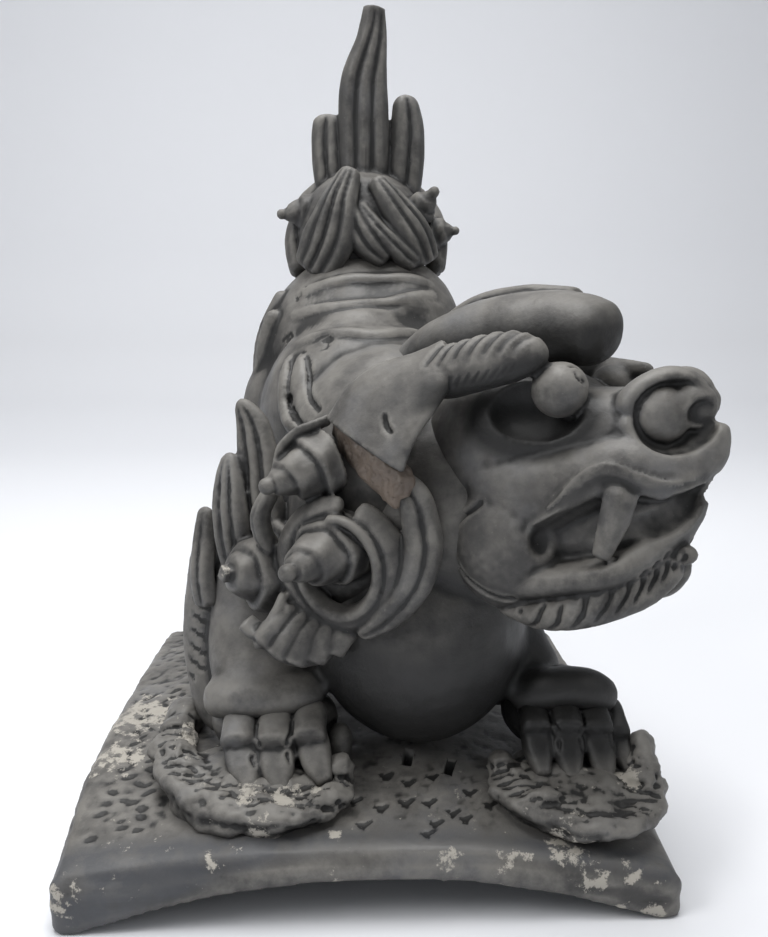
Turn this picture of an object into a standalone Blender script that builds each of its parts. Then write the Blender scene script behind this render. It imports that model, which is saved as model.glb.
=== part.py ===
"""A crouching lion ornament for a roof ridge, modelled and fired as one piece with its arched cap tile.

Sizes are written in millimetres and turned into metres by mm(). X runs to the right of the tile's front edge, Y runs
back from it and Z up from the floor. The lion crouches with its chest on the tile, rump and tail up, head turned.
"""

import math

import bmesh
import bpy
import numpy as np
from mathutils import Matrix, Vector

MM = 0.001

TILE_HALF_WIDTH = 132
TILE_LENGTH = 262
TILE_TURN = 0.9
TILE_SHIFT = (-1.5, -0.5, 0)
TILE_ARCH_HALF_WIDTH = 123
TILE_ARCH_RISE = 22
TILE_ARCH_MORE_INSIDE = 5
TILE_CORNER = 6
LIP_RADIUS = 7

RUMP = (-5, 192, 214)
CHEST = (22, 86, 102)
HEAD = (66, 62, 180)
HEAD_YAW, HEAD_PITCH, HEAD_ROLL = 52, 12, -5
NOSE_START = (60.5, 20)
NOSE_TURN = 32.8
UPPER_PLAN = [(18.5, -34.5), (31.5, -34), (44, -33), (54, -31), (63, -27), (71, -20), (78, -11), (82, 0)]
LOWER_PLAN = [(18.5, -34.5), (31.5, -34), (44, -32), (54, -28.5), (61, -24), (67, -17), (72, -10), (78, 0)]
UPPER_CREST = [-20.5, -13, -2, 1.5, -3, -7.8, -8.6, -8]
UPPER_INNER = [-22, -17, -12.5, -9.5, -13, -14.4, -11.9, -9.5]
LOWER_RIM = [-35, -38.5, -39.5, -36, -33, -31, -27, -12]
TAIL_ROOT = (-3, 198, 286)
LEFT_PAW = (-48, 66, 60)
RIGHT_PAW = (88, 76, 59)

BLANK_VOXEL = 3.0
HEAD_VOXEL = 1.8
FINE_VOXEL = 2.2
TRIANGLES = 9800


def mm(*values):
    return Vector(values) * MM


def spline(rows, t):
    """Catmull-Rom through the rows, read at each t from 0 to 1."""
    rows = np.asarray(rows, float)
    rows = rows.reshape(len(rows), -1)
    spans = len(rows) - 1
    place = np.clip(np.asarray(t, float), 0, 1) * spans
    first = np.minimum(place.astype(int), spans - 1)
    f = (place - first)[:, None]
    ends = np.vstack([2 * rows[0] - rows[1], rows, 2 * rows[-1] - rows[-2]])
    a, b, c, d = (ends[first + k] for k in range(4))
    return b + f * (c - a + f * (2 * a - 5 * b + 4 * c - d + f * (3 * (b - c) + d - a))) / 2


def unit(rows):
    return rows / np.maximum(np.linalg.norm(rows, axis=1), 1e-9)[:, None]


def place(verts, rows):
    for vert, row in zip(verts, rows):
        vert.co = row


def roll(pile, path, widths, depths, out, flutes=0, groove=0.3, around=16, along=24, cap=0.12, square=1.0):
    """A roll of clay laid along a path, wide across it and deep towards out, rounded at both ends.

    out holds one direction or one for each point of the path. flutes is the number of ridges along its outer face.
    """
    clay = bmesh.new()
    pile.append(clay)
    verts = bmesh.ops.create_uvsphere(clay, u_segments=around, v_segments=along, radius=1)["verts"]
    ball = np.array([vert.co for vert in verts])
    t = np.arccos(np.clip(-ball[:, 2], -1, 1)) / math.pi
    angle = np.arctan2(ball[:, 1], ball[:, 0])
    centre = spline(path, t)
    step = 0.004
    tangent = unit(spline(path, np.minimum(t + step, 1)) - spline(path, np.maximum(t - step, 0)))
    out = np.asarray(out, float).reshape(-1, 3)
    up = spline(out, t) if len(out) > 1 else np.repeat(out, len(t), 0)
    up = unit(up - tangent * (up * tangent).sum(1)[:, None])
    side = np.cross(tangent, up)
    x = np.sign(np.cos(angle)) * np.abs(np.cos(angle)) ** square
    y = np.sign(np.sin(angle)) * np.abs(np.sin(angle)) ** square
    if flutes:
        ridge = np.abs(np.sin(math.pi * flutes * (x + 1) / 2)) ** 0.7
        y = np.where(y > 0, y * (1 - groove * (1 - ridge)), y)
    over = np.maximum(0, np.abs(2 * t - 1) - (1 - cap)) / cap
    tip = np.sqrt(np.maximum(0, 1 - over**2))
    width = spline(np.reshape(widths, (-1, 1)), t)[:, 0] * tip
    depth = spline(np.reshape(depths, (-1, 1)), t)[:, 0] * tip
    place(verts, (centre + side * (x * width)[:, None] + up * (y * depth)[:, None]) * MM)


def ball(pile, centre, radii, turn=(0, 0, 0), around=24):
    clay = bmesh.new()
    pile.append(clay)
    angles = [math.radians(angle) for angle in turn]
    matrix = Matrix.Translation(mm(*centre)) @ Matrix.Rotation(angles[2], 4, "Z")
    matrix = matrix @ Matrix.Rotation(angles[1], 4, "Y") @ Matrix.Rotation(angles[0], 4, "X")
    matrix = matrix @ Matrix.Diagonal((*mm(*radii), 1))
    bmesh.ops.create_uvsphere(clay, u_segments=around, v_segments=around // 2, radius=1, matrix=matrix)


def sided(path, side):
    """A path of the head's left side, or mirrored to its right side where side is -1."""
    return [(x, side * y, z) for x, y, z in path]


def away(path, core):
    """Directions from a core point to each point of a path."""
    return np.asarray(path, float) - np.asarray(core, float)


def spiral(centre, axis, start, turns, radii, heights, hand=1, points=9):
    """The points of a spiral round an axis and the directions that face outwards from it."""
    centre, axis, start = (Vector(v) for v in (centre, axis, start))
    axis.normalize()
    start = (start - axis * start.dot(axis)).normalized()
    across = axis.cross(start) * hand
    t = np.linspace(0, 1, max(4, round(turns * points)))
    radius = spline(np.reshape(radii, (-1, 1)), t)[:, 0]
    height = spline(np.reshape(heights, (-1, 1)), t)[:, 0]
    path, out = [], []
    for s, r, h in zip(t, radius, height):
        spoke = start * math.cos(math.tau * turns * s) + across * math.sin(math.tau * turns * s)
        path.append(centre + spoke * r + axis * h)
        out.append(spoke * 0.8 + axis * 0.7)
    return path, out


def conch(pile, centre, axis, start, radius, height, turns=3, hand=1, band=None, flutes=0, around=14):
    """A curl of hair wound to a point like a conch shell."""
    t = np.linspace(0, 1, 9)
    radii = radius * (1 - t) ** 1.15
    heights = height * t**0.85
    band = band or 0.62 * math.hypot(radius, height) / turns
    path, out = spiral(centre, axis, start, turns, radii, heights, hand)
    thick = [band * (1.1 - 0.75 * s) for s in t]
    deep = [0.8 * b for b in thick]
    steps = round(turns * 16)
    roll(pile, path, thick, deep, out, flutes=flutes, around=around, along=steps, cap=0.06)
    middle = Vector(centre) + Vector(axis).normalized() * height * 0.42
    turn = Vector((0, 0, 1)).rotation_difference(Vector(axis)).to_matrix().to_4x4()
    matrix = Matrix.Translation(middle * MM) @ turn
    clay = bmesh.new()
    pile.append(clay)
    bmesh.ops.create_cone(clay, cap_ends=True, segments=20, radius1=radius * 0.9 * MM, radius2=radius * 0.1 * MM,
                          depth=height * 0.95 * MM, matrix=matrix)


def to_object(pile, name, matrix=None):
    """Joins a pile of closed shapes into one object."""
    mesh = bpy.data.meshes.new(name)
    whole = bmesh.new()
    for clay in pile:
        bmesh.ops.recalc_face_normals(clay, faces=clay.faces)
        clay.to_mesh(mesh)
        whole.from_mesh(mesh)
        clay.free()
    if matrix:
        bmesh.ops.transform(whole, matrix=matrix, verts=whole.verts)
    whole.to_mesh(mesh)
    whole.free()
    shape = bpy.data.objects.new(name, mesh)
    bpy.context.scene.collection.objects.link(shape)
    return shape


def settle(shape):
    """Applies the modifiers of a shape."""
    bpy.context.view_layer.update()
    graph = bpy.context.evaluated_depsgraph_get()
    mesh = bpy.data.meshes.new_from_object(shape.evaluated_get(graph))
    old = shape.data
    shape.modifiers.clear()
    shape.data = mesh
    bpy.data.meshes.remove(old)
    return shape


def fuse(shape, voxel, rounds=0, factor=0.5):
    """Works overlapping rolls into one skin and smooths it."""
    remesh = shape.modifiers.new("Remesh", "REMESH")
    remesh.mode = "VOXEL"
    remesh.voxel_size = voxel * MM
    if rounds:
        smooth = shape.modifiers.new("Smooth", "SMOOTH")
        smooth.factor = factor
        smooth.iterations = rounds
    return settle(shape)


def cut(shape, cutter):
    boolean = shape.modifiers.new("Cut", "BOOLEAN")
    boolean.operation = "DIFFERENCE"
    boolean.solver = "EXACT"
    boolean.object = cutter
    settle(shape)
    bpy.data.objects.remove(cutter)
    return shape


def add_shape(pile, shape):
    clay = bmesh.new()
    clay.from_mesh(shape.data)
    pile.append(clay)
    bpy.data.objects.remove(shape)


# ---------------------------------------------------------------- tile and ground


def tile_top(x, y):
    """Height of the tile's top: arched across, with the side edges a little lower than the middle."""
    t = np.clip(np.asarray(y, float) / TILE_LENGTH, 0, 1)
    middle = spline([[34.5], [42], [45.5], [43.5], [35]], t)[:, 0]
    left = spline([[24], [40], [38], [33], [25]], t)[:, 0]
    right = spline([[20], [24], [26], [25], [21]], t)[:, 0]
    part = np.clip((np.asarray(x, float) / TILE_HALF_WIDTH) ** 2, 0, 1.1)
    return middle + (np.where(x < 0, left, right) - middle) * part


def tile(pile):
    clay = bmesh.new()
    pile.append(clay)
    verts = bmesh.ops.create_cube(clay, size=2)["verts"]
    edges = list({edge for vert in verts for edge in vert.link_edges})
    bmesh.ops.subdivide_edges(clay, edges=edges, cuts=40, use_grid_fill=True)
    verts = list(clay.verts)
    cube = np.array([vert.co for vert in verts])
    half = TILE_LENGTH / 2
    plan = cube[:, :2] * (TILE_HALF_WIDTH, half)
    inner = np.array([TILE_HALF_WIDTH, half]) - TILE_CORNER
    past = np.maximum(np.abs(plan) - inner, 0)
    reach = np.linalg.norm(past, axis=1)
    shrink = np.where(reach > TILE_CORNER, TILE_CORNER / np.maximum(reach, 1e-9), 1)
    plan = np.sign(plan) * (np.minimum(np.abs(plan), inner) + past * shrink[:, None])
    margin = np.minimum(TILE_HALF_WIDTH - np.abs(plan[:, 0]), half - np.abs(plan[:, 1]))
    x, y = plan[:, 0], plan[:, 1] + half
    edge = np.clip(LIP_RADIUS - margin, 0, LIP_RADIUS)
    drop = LIP_RADIUS - np.sqrt(np.maximum(LIP_RADIUS**2 - edge**2, 0))
    rise = TILE_ARCH_RISE + TILE_ARCH_MORE_INSIDE * np.sin(math.pi * y / TILE_LENGTH)
    low = np.maximum(rise * (1 - (x / TILE_ARCH_HALF_WIDTH) ** 2), -2)
    high = tile_top(x, y) - drop
    z = low + (high - low) * (cube[:, 2] + 1) / 2
    turn = math.radians(TILE_TURN)
    spun = np.stack([x * math.cos(turn) - y * math.sin(turn), x * math.sin(turn) + y * math.cos(turn), z], 1)
    place(verts, (spun + TILE_SHIFT) * MM)


def mound(pile, rim, middle, radii, width=9, depth=7):
    """Rough clay heaped round a paw: a low heap, a rim in front of the claws and lumps along the rim."""
    ball(pile, middle, radii)
    roll(pile, rim, [width * 0.7, width, width, width * 0.8], [depth * 0.7, depth, depth, depth * 0.8], (0, 0, 1))
    for lump, (x, y, z) in enumerate(spline(rim, np.linspace(0.04, 0.96, 9))):
        swing = math.sin(lump * 2.4)
        ball(pile, (x + 2 * swing, y - 2 * swing, z + 1.5 * math.cos(lump * 1.7)),
             (width * (0.95 + 0.25 * swing), width * (0.9 - 0.2 * swing), depth * 1.15), (0, 0, lump * 50), 14)


def ground(pile):
    mound(pile, [(-93, 80, 50), (-90, 54, 50), (-76, 31, 45), (-50, 20, 43), (-26, 20, 43), (-15, 36, 43)],
          (-50, 52, 40), (42, 38, 12))
    mound(pile, [(58, 52, 43), (64, 30, 42), (82, 18, 41), (104, 17, 38), (119, 30, 38), (121, 50, 42)],
          (90, 48, 38), (33, 36, 12))
    ball(pile, (122, 44, 46), (9, 11, 9))
    for x in (-60, 54):
        ball(pile, (x, 214, 38), (32, 38, 12))


# ---------------------------------------------------------------- body and legs


def trunk(pile):
    ball(pile, RUMP, (57, 58, 62))
    ball(pile, (14, 185, 222), (40, 45, 52))
    ball(pile, (-3, 150, 188), (55, 58, 60))
    ball(pile, (8, 104, 166), (52, 56, 66))
    ball(pile, CHEST, (52, 56, 58))
    ball(pile, (40, 78, 160), (46, 44, 50))
    roll(pile, [(-34, 114, 160), (-52, 106, 125), (-54, 88, 92), (-50, 68, 66)], [24, 25, 23, 23], [24, 24, 25, 22],
         (-1, 0, 0))
    roll(pile, [(44, 122, 150), (52, 114, 118), (65, 98, 86), (78, 82, 64)], [28, 26, 23, 22], [28, 24, 22, 20],
         (1, 0, 0))
    for side in (-1, 1):
        x = -5 + side * 45
        ball(pile, (x, 190, 165), (24, 42, 60), (20, 0, 0))
        roll(pile, [(x, 170, 135), (x + side * 6, 196, 100), (x + side * 6, 214, 70), (x + side * 4, 204, 48)],
             [20, 18, 17, 18], [26, 20, 17, 16], (side, 0, 0))
        ball(pile, (x + side * 4, 200, 50), (23, 32, 15))


def fringe(pile):
    roll(pile, [(-72, 100, 154), (-77, 99, 142), (-82, 98, 124), (-84, 96, 104), (-84, 92, 80), (-80, 84, 60),
                (-74, 76, 48)], [4, 8, 9, 10, 10, 9, 4], [3, 4, 4, 4, 4, 4, 3], (-0.5, -0.8, 0), cap=0.3)


def paw(pile, centre, instep, toes):
    """A paw: its instep and, for each toe, a knuckle and a claw that tapers to its tip."""
    ball(pile, centre, instep)
    for knuckle, tip, size in toes:
        knuckle, tip = Vector(knuckle), Vector(tip)
        ball(pile, knuckle, (size, size * 1.25, size * 0.95), around=16)
        path = [knuckle, knuckle.lerp(tip, 0.5) + Vector((0, -2, 1.5)), tip]
        roll(pile, path, [size * 0.9, size * 0.95, size * 0.35], [size * 0.8, size * 0.7, size * 0.3], (0, -0.6, 0.8),
             around=12, along=12, cap=0.3)


def paws(pile):
    paw(pile, LEFT_PAW, (30, 27, 19), [((-62, 48, 58), (-56, 33, 44), 8), ((-47, 46, 58), (-42, 31, 43), 8.5),
                                      ((-31, 48, 59), (-24, 35, 46), 8)])
    paw(pile, RIGHT_PAW, (26, 26, 22), [((73, 56, 58), (72, 42, 45), 7), ((86, 53, 59), (85, 38, 43), 7),
                                       ((98, 54, 57), (98, 38, 41), 7), ((109, 58, 53), (109, 42, 41), 6.5)])
    for x in (-58, 50):
        for step in (-1, 0, 1):
            ball(pile, (x + step * 14, 172, 50), (8, 11, 9), around=16)


# ---------------------------------------------------------------- head, in its own frame: x forward, y to its left


def head_matrix():
    yaw, pitch, tilt = (math.radians(angle) for angle in (HEAD_YAW, HEAD_PITCH, HEAD_ROLL))
    forward = Vector((math.sin(yaw), -math.cos(yaw), 0))
    left = Vector((math.cos(yaw), math.sin(yaw), 0))
    up = Vector((0, 0, 1))
    nose = math.cos(pitch) * forward + math.sin(pitch) * up
    crown = -math.sin(pitch) * forward + math.cos(pitch) * up
    ear = math.cos(tilt) * left + math.sin(tilt) * crown
    crown = -math.sin(tilt) * left + math.cos(tilt) * crown
    turn = Matrix((nose, ear, crown)).transposed().to_4x4()
    return Matrix.Translation(mm(*HEAD)) @ turn


def along_lip(plan, heights, side, out=0.0):
    """A lip's line at some heights, moved outwards from its plan by out."""
    plan = np.array(plan, float)
    step = np.gradient(plan, axis=0)
    normal = unit(np.stack([step[:, 1], -step[:, 0]], 1))
    plan = plan + normal * out
    return [(x, -side * y, z) for (x, y), z in zip(plan, heights)], [(nx, -side * ny, 0) for nx, ny in normal]


def on_nose(rows, side):
    """Points of one slanting side of the nose: along it, out of it, and up."""
    turn = math.radians(NOSE_TURN)
    return [(NOSE_START[0] + u * math.cos(turn) + w * math.sin(turn),
             side * (NOSE_START[1] - u * math.sin(turn) + w * math.cos(turn)), z) for u, w, z in rows]


def nose_ball(pile, centre, radii, side):
    ball(pile, on_nose([centre], side)[0], radii, (0, 0, -side * NOSE_TURN))


def snout(pile):
    """Cranium, bridge, the flat-sided upper jaw and the lower jaw that slopes back to the chin."""
    ball(pile, (-6, 0, 10), (36, 38, 42))
    bridge = [(-5, 0, 12), (15, 0, 18), (34, 0, 14), (48, 0, 12.5), (60, 0, 13), (70, 0, 14), (80, 0, 14)]
    roll(pile, bridge, [37, 35, 29, 25, 19, 14, 8], [34, 27, 20, 18.5, 18, 18, 15], (0, 0, 1), around=24, square=0.8)
    upper = [(-10, 0, -8), (8, 0, -8), (26, 0, -6), (44, 0, -2), (56, 0, 0), (66, 0, -3), (75, 0, -4), (83, 0, -4)]
    roll(pile, upper, [38, 37.5, 35, 33.5, 30.5, 25.5, 17, 9], [30, 26, 20, 15, 13, 12, 11, 9], (0, 0, 1), around=24,
         square=0.7)
    lower = [(-4, 0, -44), (12, 0, -44.5), (30, 0, -43.5), (44, 0, -42), (54, 0, -38.5), (61, 0, -34), (67, 0, -28.5),
             (73, 0, -21), (77, 0, -14)]
    lean = [(0, 0, 1), (0, 0, 1), (-0.1, 0, 1), (-0.2, 0, 1), (-0.3, 0, 1), (-0.5, 0, 1), (-0.8, 0, 1),
            (-1, 0, 0.6), (-1, 0, 0.5)]
    roll(pile, lower, [34, 35, 34.5, 33, 29, 23, 15, 10, 6], [11, 9, 8, 8, 7.5, 6.5, 5.5, 5.5, 5], lean, around=24, square=0.7)
    core = [(-4, 0, -20), (28, 0, -24), (46, 0, -24), (60, 0, -22), (71, 0, -18)]
    roll(pile, core, [32, 25, 23, 18, 9], [26, 22, 20, 17, 12], (0, 0, 1), around=24)


def nose_side(pile, side):
    """One side of the nose: the ring that flares below the nostril and the hood over it."""
    out = (math.sin(math.radians(NOSE_TURN)), side * math.cos(math.radians(NOSE_TURN)), 0)
    ring = [(-1, -4, 19), (-0.5, -4, 14), (2, -4, 9.5), (7, -4, 4.5), (13, -4, 1), (20, -4, -1.5), (26, -4, -1.5),
            (31, -4, 1.5), (33.5, -4, 7), (34.5, -4, 13)]
    hood = [(-1, -4, 19), (1, -4, 25), (6, -4, 28.5), (11, -4, 30.5), (17, -4, 31.5), (22, -4, 30.5), (25.5, -4, 28),
            (28.5, -4, 24.5), (29.5, -4, 20.5)]
    nose_ball(pile, (16, -9, 16), (16, 10, 17.5), side)
    roll(pile, on_nose(ring, side), [3.5, 3.5, 4.5, 5.5, 6.5, 7.5, 7.5, 6, 4.5, 3.5], [6, 7], out, around=12)
    roll(pile, on_nose(hood, side), [3.5, 4, 4.5, 4.5, 4.5, 4.5, 4.5, 4, 3.5], [6, 7, 6], out, around=12)


def skull():
    """The head's soft masses, worked together, with the eye sockets, mouth and nostrils cut into them."""
    pile = []
    snout(pile)
    for side in (-1, 1):
        ball(pile, (1, side * 21, -26), (26, 20, 31))
        nose_side(pile, side)
        crest, out = along_lip(UPPER_PLAN, UPPER_CREST, side, -2.4)
        roll(pile, [(x, y, z - 2.5) for x, y, z in crest], [4, 4.5, 4], [4, 4.5, 4], out, around=12, along=32)
    shape = fuse(to_object(pile, "skull"), HEAD_VOXEL, 5)
    height = (np.array(UPPER_INNER) - np.array(LOWER_RIM)) / 2
    for side in (-1, 1):
        hollows = []
        ball(hollows, (30, side * 37, 27.5), (21, 16, 14.5), (0, 8, 0))
        upper, out = along_lip(UPPER_PLAN, UPPER_INNER, side, 3)
        lower = along_lip(LOWER_PLAN, LOWER_RIM, side, 3)[0]
        roll(hollows, (np.array(upper) + np.array(lower)) / 2, height, [9, 12, 13, 13, 12, 11, 9, 7], out, along=40,
             cap=0.1, square=0.85)
        nose_ball(hollows, (17.3, 3, 16.2), (16.8, 11, 14.8), side)
        nose_ball(hollows, (39, 0, 19.5), (8, 14, 5), side)
        for hollow in hollows:
            cut(shape, to_object([hollow], "hollow"))
    return shape


def fangs_and_beard(pile):
    for side in (-1, 1):
        fang = sided([(57.5, 26, -6), (56, 27, -14), (52, 28.5, -24), (47, 30, -35)], side)
        roll(pile, fang, [6.4, 6.4, 5.2, 2], [5, 5, 4.5, 2], (0.45, side, 0), around=12, along=16, square=1.2)
        beard = [(0, 26, -57), (14, 26, -57.5), (30, 25.5, -57), (43, 22.5, -54), (52, 17.5, -50), (58.5, 11.5, -44.5),
                 (63, 5.5, -39), (65, 0, -36.5)]
        beard = sided(beard, side)
        roll(pile, beard, [5, 6.5, 7, 7.5, 9, 10, 10, 9], [6, 7, 7, 7, 6, 5, 5, 4], (0.2, side, -0.25), around=14,
             along=28)


def brow_eye_nose(pile):
    for side in (-1, 1):
        ball(pile, (36.5, side * 27, 32), (11.6, 11.6, 11.3))
        nose_ball(pile, (13.6, -4.5, 17.2), (9.9, 7.5, 10.4), side)
        nose_ball(pile, (25.3, -4.5, 19.5), (8.2, 7.2, 8), side)
    near = [(-17, -39, 40), (-6, -41, 44), (10, -41, 46), (25, -38, 47), (37, -33, 46)]
    roll(pile, near, [6, 10.5, 11, 10, 4.5], [8, 10, 10, 9, 5], (0, -1, 0.2), cap=0.2)
    far = [(-17, 39, 40), (0, 38, 43), (20, 33, 41), (38, 28, 39), (56, 23, 37)]
    roll(pile, far, [6, 10, 8, 6, 3], [8, 9, 8, 6, 2.5], (0, 1, 0.4), cap=0.1)


def forelock(pile):
    roll(pile, [(-58, 0, 52), (-36, 0, 58), (-12, 0, 61), (12, 0, 61), (34, -2, 57), (52, -3, 50)],
         [12, 18, 21, 21, 19, 14], [9, 14, 16, 16, 15, 12], (0, 0, 1), around=20, along=28, cap=0.2)
    roll(pile, [(-48, 10, 66), (-20, 12, 77), (8, 12, 78), (33, 10, 72)], [5, 8, 8, 7], [3, 4, 3.5, 3], (0, 0.2, 1),
         cap=0.06)


def ears(pile):
    roll(pile, [(-2, -38, 52), (-14, -48, 42), (-28, -57, 28), (-41, -62, 15)], [11, 18, 23, 26], [7, 6, 5.5, 5.5],
         [(-0.2, -0.7, 0.6), (-0.2, -0.9, 0.3), (-0.1, -1, 0.2), (-0.1, -1, 0.1)], cap=0.05, around=20)
    roll(pile, [(-6, 38, 50), (-20, 50, 38), (-32, 56, 20), (-36, 57, -2), (-34, 52, -24)], [10, 16, 18, 15, 5],
         [7, 6, 5.5, 5, 4], [(-0.3, 0.6, 0.7), (-0.5, 0.7, 0.5), (-0.4, 0.9, 0.2), (-0.3, 1, 0), (-0.3, 1, 0)],
         cap=0.3, around=20)


def head(pile):
    own = []
    add_shape(own, skull())
    fangs_and_beard(own)
    brow_eye_nose(own)
    forelock(own)
    ears(own)
    add_shape(pile, to_object(own, "head", head_matrix()))


# ---------------------------------------------------------------- mane and tail


def big_curl(pile, centre, axis, start, hand, size=1.0):
    """The mane's largest curl: flat outer strands that wind in to a conch standing in their middle."""
    path, out = spiral(centre, axis, start, 0.75, [34 * size, 36 * size, 35 * size, 32 * size], [-8, -6, -6, -8], hand)
    roll(pile, path, [9 * size, 12 * size, 12 * size, 9 * size], [10 * size, 10 * size], out, flutes=3, around=28)
    path, out = spiral(centre, axis, start, 1.5, [27 * size, 23 * size, 19 * size, 14 * size], [0, 2, 5, 8], hand)
    roll(pile, path, [7 * size, 7 * size, 6 * size, 5 * size], [9 * size, 8 * size], out, flutes=2, around=20,
         along=36)
    back = Vector(centre) - Vector(axis).normalized() * 14 * size
    ball(pile, back, (28 * size, 20 * size, 30 * size))
    conch(pile, centre, axis, start, 15 * size, 40 * size, 2.4, hand, flutes=2, around=20)


def flame(pile, path, width, depth, out, flutes=3):
    """A flat lock of hair that comes to a point, grooved along its length."""
    widths = [width * w for w in (0.8, 1.0, 0.85, 0.3)]
    depths = [depth * d for d in (0.9, 1.0, 0.9, 0.5)]
    roll(pile, path, widths, depths, out, flutes=flutes, groove=0.35, around=24, along=20, cap=0.15)


def mane(pile):
    ball(pile, (-12, 70, 150), (36, 26, 46))
    big_curl(pile, (-10, 45, 150), (-0.57, -0.82, 0), (0.7, -0.5, 0.8), -1)
    conch(pile, (-19, 60, 183), (-0.82, -0.55, -0.12), (0, 0, 1), 18, 31, 2.2, -1, flutes=2)
    conch(pile, (-36, 62, 134), (-0.82, -0.55, -0.02), (0, 0, 1), 17, 31, 2.2, -1, flutes=2)
    left = (-0.45, -0.85, 0.2)
    flame(pile, [(-38, 56, 148), (-47, 66, 164), (-52, 75, 180), (-56, 88, 206)], 8.5, 6, left)
    flame(pile, [(-52, 62, 122), (-60, 68, 140), (-66, 78, 160), (-64, 88, 182)], 9.5, 6, left)
    flame(pile, [(-80, 88, 112), (-81, 92, 126), (-81, 96, 140), (-79, 100, 154)], 7, 5, left, 2)
    flame(pile, [(4, 42, 118), (-12, 38, 111), (-28, 38, 106), (-46, 40, 104)], 14, 8, (-0.1, -0.9, -0.4), 4)
    path, out = spiral((-50, 54, 133), (-0.8, -0.6, 0), (0.3, -0.3, 1), 0.7, [14, 15, 15, 14], [0, 0], -1)
    roll(pile, path, [4, 5, 5, 3], [6, 6], out, flutes=2)
    big_curl(pile, (64, 118, 146), (0.85, 0.5, 0), (-0.3, 0.3, 0.8), 1, 0.8)
    conch(pile, (44, 134, 186), (0.7, 0.6, 0.3), (0, 0, 1), 17, 28, 2.6, 1, flutes=2)
    flame(pile, [(30, 112, 200), (36, 126, 210), (42, 140, 218), (46, 154, 226)], 12, 7, (0.6, 0.2, 0.8))
    flame(pile, [(46, 124, 156), (58, 140, 160), (62, 150, 168), (63, 160, 180)], 11, 7, (0.9, 0.4, 0.2))
    flame(pile, [(-20, 96, 210), (-28, 112, 218), (-32, 126, 222), (-35, 140, 228)], 12, 6, (-0.6, -0.2, 0.8))


def tail(pile):
    core = (-3, 202, 286)
    ball(pile, TAIL_ROOT, (36, 30, 34))
    ball(pile, (0, 216, 284), (32, 25, 30))
    bands = [([(-8, 176, 318), (-20, 172, 300), (-32, 172, 280), (-34, 178, 262)], [5, 10, 14, 13]),
             ([(0, 176, 316), (14, 172, 302), (28, 172, 286), (34, 176, 270)], [5, 9, 12, 10]),
             ([(-5, 174, 300), (4, 170, 288), (16, 168, 276), (26, 168, 268)], [3, 5, 6, 5]),
             ([(-20, 214, 316), (-34, 214, 300), (-40, 206, 280), (-38, 196, 262)], [6, 10, 12, 9]),
             ([(16, 218, 316), (32, 214, 300), (38, 206, 282), (38, 196, 264)], [6, 10, 12, 9]),
             ([(-2, 226, 318), (-6, 236, 302), (-12, 238, 284), (-16, 232, 264)], [7, 11, 13, 11]),
             ([(6, 226, 316), (12, 234, 300), (18, 234, 282), (20, 228, 264)], [6, 10, 12, 10])]
    for path, widths in bands:
        roll(pile, path, widths, [5, 7, 7, 5], away(path, core), flutes=3, groove=0.35, around=24)
    conch(pile, (-34, 192, 292), (-0.98, -0.1, 0.12), (0, 0, 1), 10, 18, 2.4)
    conch(pile, (28, 184, 296), (0.5, -0.5, 0.6), (0, 0, 1), 9, 15, 2.4, -1)
    conch(pile, (36, 194, 284), (0.98, -0.1, 0.05), (0, 0, 1), 9, 17, 2.4, -1)
    roll(pile, [(-2, 198, 296), (-2, 198, 330), (-2, 198, 362), (3, 197, 388), (4, 196, 403)], [12, 12.5, 12.5, 8, 4],
         [9, 9, 8, 6, 4], (0, -1, 0), flutes=3, groove=0.3, around=24, cap=0.04)
    roll(pile, [(-18, 202, 296), (-21, 202, 318), (-22, 203, 336), (-21, 203, 351)], [9, 10, 9, 6], [7, 7, 6, 4],
         (-0.3, -1, 0), flutes=2, around=20)
    roll(pile, [(16, 202, 290), (20, 202, 314), (22, 203, 340), (20, 203, 359)], [9, 11, 9, 4], [7, 7, 6, 4],
         (0.3, -1, 0), flutes=2, around=20)


# ---------------------------------------------------------------- the whole casting


def stand(shape):
    """Cuts the underside flat at the floor and sets the origin at the middle of the part's box."""
    clay = bmesh.new()
    clay.from_mesh(shape.data)
    everything = clay.verts[:] + clay.edges[:] + clay.faces[:]
    cuts = bmesh.ops.bisect_plane(clay, geom=everything, dist=1e-6, plane_co=(0, 0, 0), plane_no=(0, 0, -1),
                                  clear_outer=True)["geom_cut"]
    edges = [item for item in cuts if isinstance(item, bmesh.types.BMEdge)]
    bmesh.ops.holes_fill(clay, edges=edges)
    bmesh.ops.triangulate(clay, faces=clay.faces)
    rows = np.array([vert.co for vert in clay.verts])
    low, high = rows.min(0), rows.max(0)
    middle = (low + high) / 2
    bmesh.ops.translate(clay, vec=(-middle[0], -middle[1], -low[2]), verts=clay.verts)
    clay.to_mesh(shape.data)
    clay.free()
    print("design origin moved by", [round(v / MM, 2) for v in (-middle[0], -middle[1], -low[2])], "mm")


def pinched(shape):
    clay = bmesh.new()
    clay.from_mesh(shape.data)
    found = any(len(edge.link_faces) != 2 for edge in clay.edges)
    clay.free()
    return found


def thin_out(shape, triangles):
    """Decimates to about this many triangles, or a few less where a narrow cleft would close on itself."""
    full = shape.data.copy()
    full.calc_loop_triangles()
    for fewer in range(0, 400, 40):
        shape.data = full.copy()
        decimate = shape.modifiers.new("Decimate", "DECIMATE")
        decimate.ratio = (triangles - fewer) / len(full.loop_triangles)
        decimate.use_collapse_triangulate = True
        settle(shape)
        if not pinched(shape):
            break


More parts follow.
